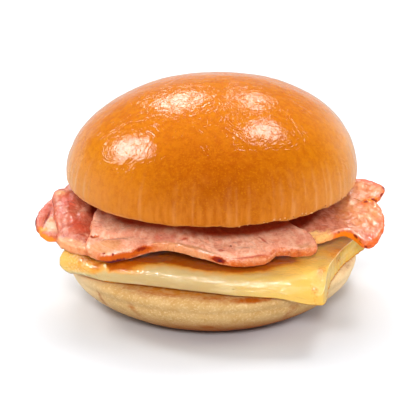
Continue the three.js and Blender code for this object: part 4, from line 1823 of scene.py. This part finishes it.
@dataclass(frozen=True)
class Softbox:
    """A square soft light that faces the sandwich.

    Attributes:
        name: the light's name.
        bearing: degrees from straight behind the sandwich, towards the right.
        elevation: degrees above the ground.
        size: its side, in mm.
        power: its power, in watts.
        mirrored: whether glossy surfaces show it.
        lighting: whether it brightens surfaces, besides showing in their gloss.
        moist_only: whether it falls only on the moist filling.
        distance: how far it is from the middle of the sandwich, in mm.
    """

    name: str
    bearing: float
    elevation: float
    size: float
    power: float
    mirrored: bool = True
    lighting: bool = True
    moist_only: bool = False
    distance: float = 900

    def build(self, moist: Collection) -> None:
        """Adds the light.

        Args:
            moist: the pieces that a light for them alone falls on.
        """
        lamp = bpy.data.lights.new(self.name, "AREA")
        lamp.shape = "SQUARE"
        lamp.size = self.size * MM
        lamp.energy = self.power
        b, e = math.radians(self.bearing), math.radians(self.elevation)
        way = Vector((math.sin(b) * math.cos(e), math.cos(b) * math.cos(e), math.sin(e)))
        light = bpy.data.objects.new(self.name, lamp)
        light.location = Vector((0, 0, 60 * MM)) + way * self.distance * MM
        light.rotation_euler = way.to_track_quat("Z", "Y").to_euler()
        light.visible_glossy = self.mirrored
        light.visible_diffuse = self.lighting
        if self.moist_only:
            light.light_linking.receiver_collection = moist
        bpy.context.scene.collection.objects.link(light)


@dataclass
class Studio:
    """A plain pale floor, soft lights round the sandwich and the photo's camera."""

    camera_distance: float = 650
    camera_elevation: float = 20
    aim: tuple[float, float, float] = (-1.3, 0, 34.2)
    lens: float = 153.8
    floor_size: float = 6000
    paper: str = "#d8dadd"
    paper_light: str = "#dadcdf"
    lights: tuple[Softbox, ...] = (
        Softbox("softbox_left", -73, 43, 300, 3.5),
        Softbox("softbox_right", 54, 64, 250, 2.2),
        Softbox("softbox_back_left", -14, 40, 190, 0.95),
        Softbox("softbox_back_right", 14, 41, 130, 0.45),
        Softbox("glint_front", 192, 30, 170, 5.0, lighting=False, moist_only=True),
        Softbox("glint_high", 170, 62, 190, 6.5, lighting=False, moist_only=True),
        Softbox("glint_behind_left", -42, 55, 120, 1.4, lighting=False, moist_only=True),
        Softbox("glint_behind_right", 42, 55, 120, 1.5, lighting=False, moist_only=True),
        Softbox("glint_left", 216, 36, 150, 3.4, lighting=False, moist_only=True),
        Softbox("fill_moist", 190, 23, 160, 1.1, mirrored=False, moist_only=True),
        Softbox("fill_low", 182, 7, 200, 0.6, mirrored=False, moist_only=True),
        Softbox("fill_above", 0, 60, 700, 4.8, mirrored=False),
        Softbox("fill_left", -100, 25, 300, 0.9, mirrored=False),
        Softbox("fill_right", 95, 25, 300, 2.4, mirrored=False),
        Softbox("key_front", 180, 29, 150, 4.8, mirrored=False),
    )

    def build(self, moist: Sequence[Object]) -> None:
        """Builds the floor, the lights, the surroundings and the camera.

        Args:
            moist: the pieces wet enough for small glints.
        """
        self._floor()
        glinting = bpy.data.collections.new("moist filling")
        for piece in moist:
            glinting.objects.link(piece)
        for light in self.lights:
            light.build(glinting)
        self._surroundings()
        self._camera()

    def _floor(self) -> None:
        """A matte white sweep."""
        half = self.floor_size / 2 * MM
        mesh = bpy.data.meshes.new("floor")
        corners = [(-half, -half, 0), (half, -half, 0), (half, half, 0), (-half, half, 0)]
        mesh.from_pydata(corners, [], [(0, 1, 2, 3)])
        sweep = bpy.data.objects.new("floor", mesh)
        bpy.context.scene.collection.objects.link(sweep)
        p = Pattern("matte white paper")
        colour = p.coats(self.paper, Coat(p.noise(60, 1), self.paper_light))
        mesh.materials.append(p.finish({"Base Color": colour, "Roughness": 0.9,
                                        "Specular IOR Level": 0.1}))
        sweep.visible_glossy = False

    def _surroundings(self) -> None:
        """White all round to the eye, and darker on the camera's side in reflections."""
        world = bpy.data.worlds.new("white studio")
        world.use_nodes = True
        bpy.context.scene.world = world
        tree = world.node_tree
        tree.nodes.clear()
        path = add_node(tree, "ShaderNodeLightPath")
        way = add_node(tree, "ShaderNodeTexCoord")
        parts = add_node(tree, "ShaderNodeSeparateXYZ", {0: way.outputs["Generated"]})
        behind = add_node(tree, "ShaderNodeMapRange",
                          {"Value": parts.outputs["Y"], "From Min": 0.5, "From Max": 0.95,
                           "To Min": 0.03, "To Max": 0.75}, interpolation_type="SMOOTHSTEP")
        high = add_node(tree, "ShaderNodeMapRange",
                        {"Value": parts.outputs["Z"], "From Min": 0.0, "From Max": 0.35,
                         "To Min": 1.0, "To Max": 0.15}, interpolation_type="SMOOTHSTEP")
        mirrored = add_node(tree, "ShaderNodeMath", {0: behind, 1: high}, operation="MULTIPLY")
        dome = add_node(tree, "ShaderNodeMapRange",
                        {"Value": parts.outputs["Z"], "From Min": 0.0, "From Max": 1.0,
                         "To Min": 0.24, "To Max": 0.58})
        seen = add_node(tree, "ShaderNodeMix",
                        {"Factor": path.outputs["Is Glossy Ray"], "A": dome, "B": mirrored})
        strength = add_node(tree, "ShaderNodeMix",
                            {"Factor": path.outputs["Is Camera Ray"], "A": seen, "B": 0.985})
        shade = add_node(tree, "ShaderNodeBackground",
                         {"Color": (1.0, 1.0, 1.0, 1.0), "Strength": strength})
        add_node(tree, "ShaderNodeOutputWorld", {"Surface": shade})
        bpy.context.scene.view_settings.view_transform = "Standard"

    def _camera(self) -> None:
        """The camera at the photo's angle."""
        e = math.radians(self.camera_elevation)
        back = Vector((0, -math.cos(e), math.sin(e)))
        data = bpy.data.cameras.new("camera")
        data.lens = self.lens
        data.sensor_width = 36
        data.clip_start, data.clip_end = 0.05, 20
        camera = bpy.data.objects.new("camera", data)
        camera.location = (Vector(self.aim) + back * self.camera_distance) * MM
        camera.rotation_euler = back.to_track_quat("Z", "Y").to_euler()
        bpy.context.scene.collection.objects.link(camera)
        bpy.context.scene.camera = camera


def main() -> None:
    """Builds the sandwich piece by piece and sets up the studio."""
    logging.basicConfig(level=logging.INFO, format="%(message)s")
    relief = Relief()
    filling = Filling().build(relief)
    pieces = [Heel().build(relief, PaleCrust().material()), *filling]
    crown = Crown().build(relief, GlazedCrust().material())
    crumbs = Scatter().strew(crown, "crown_crumbs", Crumb().material(), "crumb", spacing=1.5,
                             sizes=(0.18, 0.42), flatness=(1, 0.8, 0.6), seed=4)
    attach(crumbs, BODY)
    pieces += [crown, crumbs]
    for piece in pieces:
        log.info("%s: %d faces", piece.name, len(piece.data.polygons))
    Studio().build(filling)


if __name__ == "__main__":
    main()
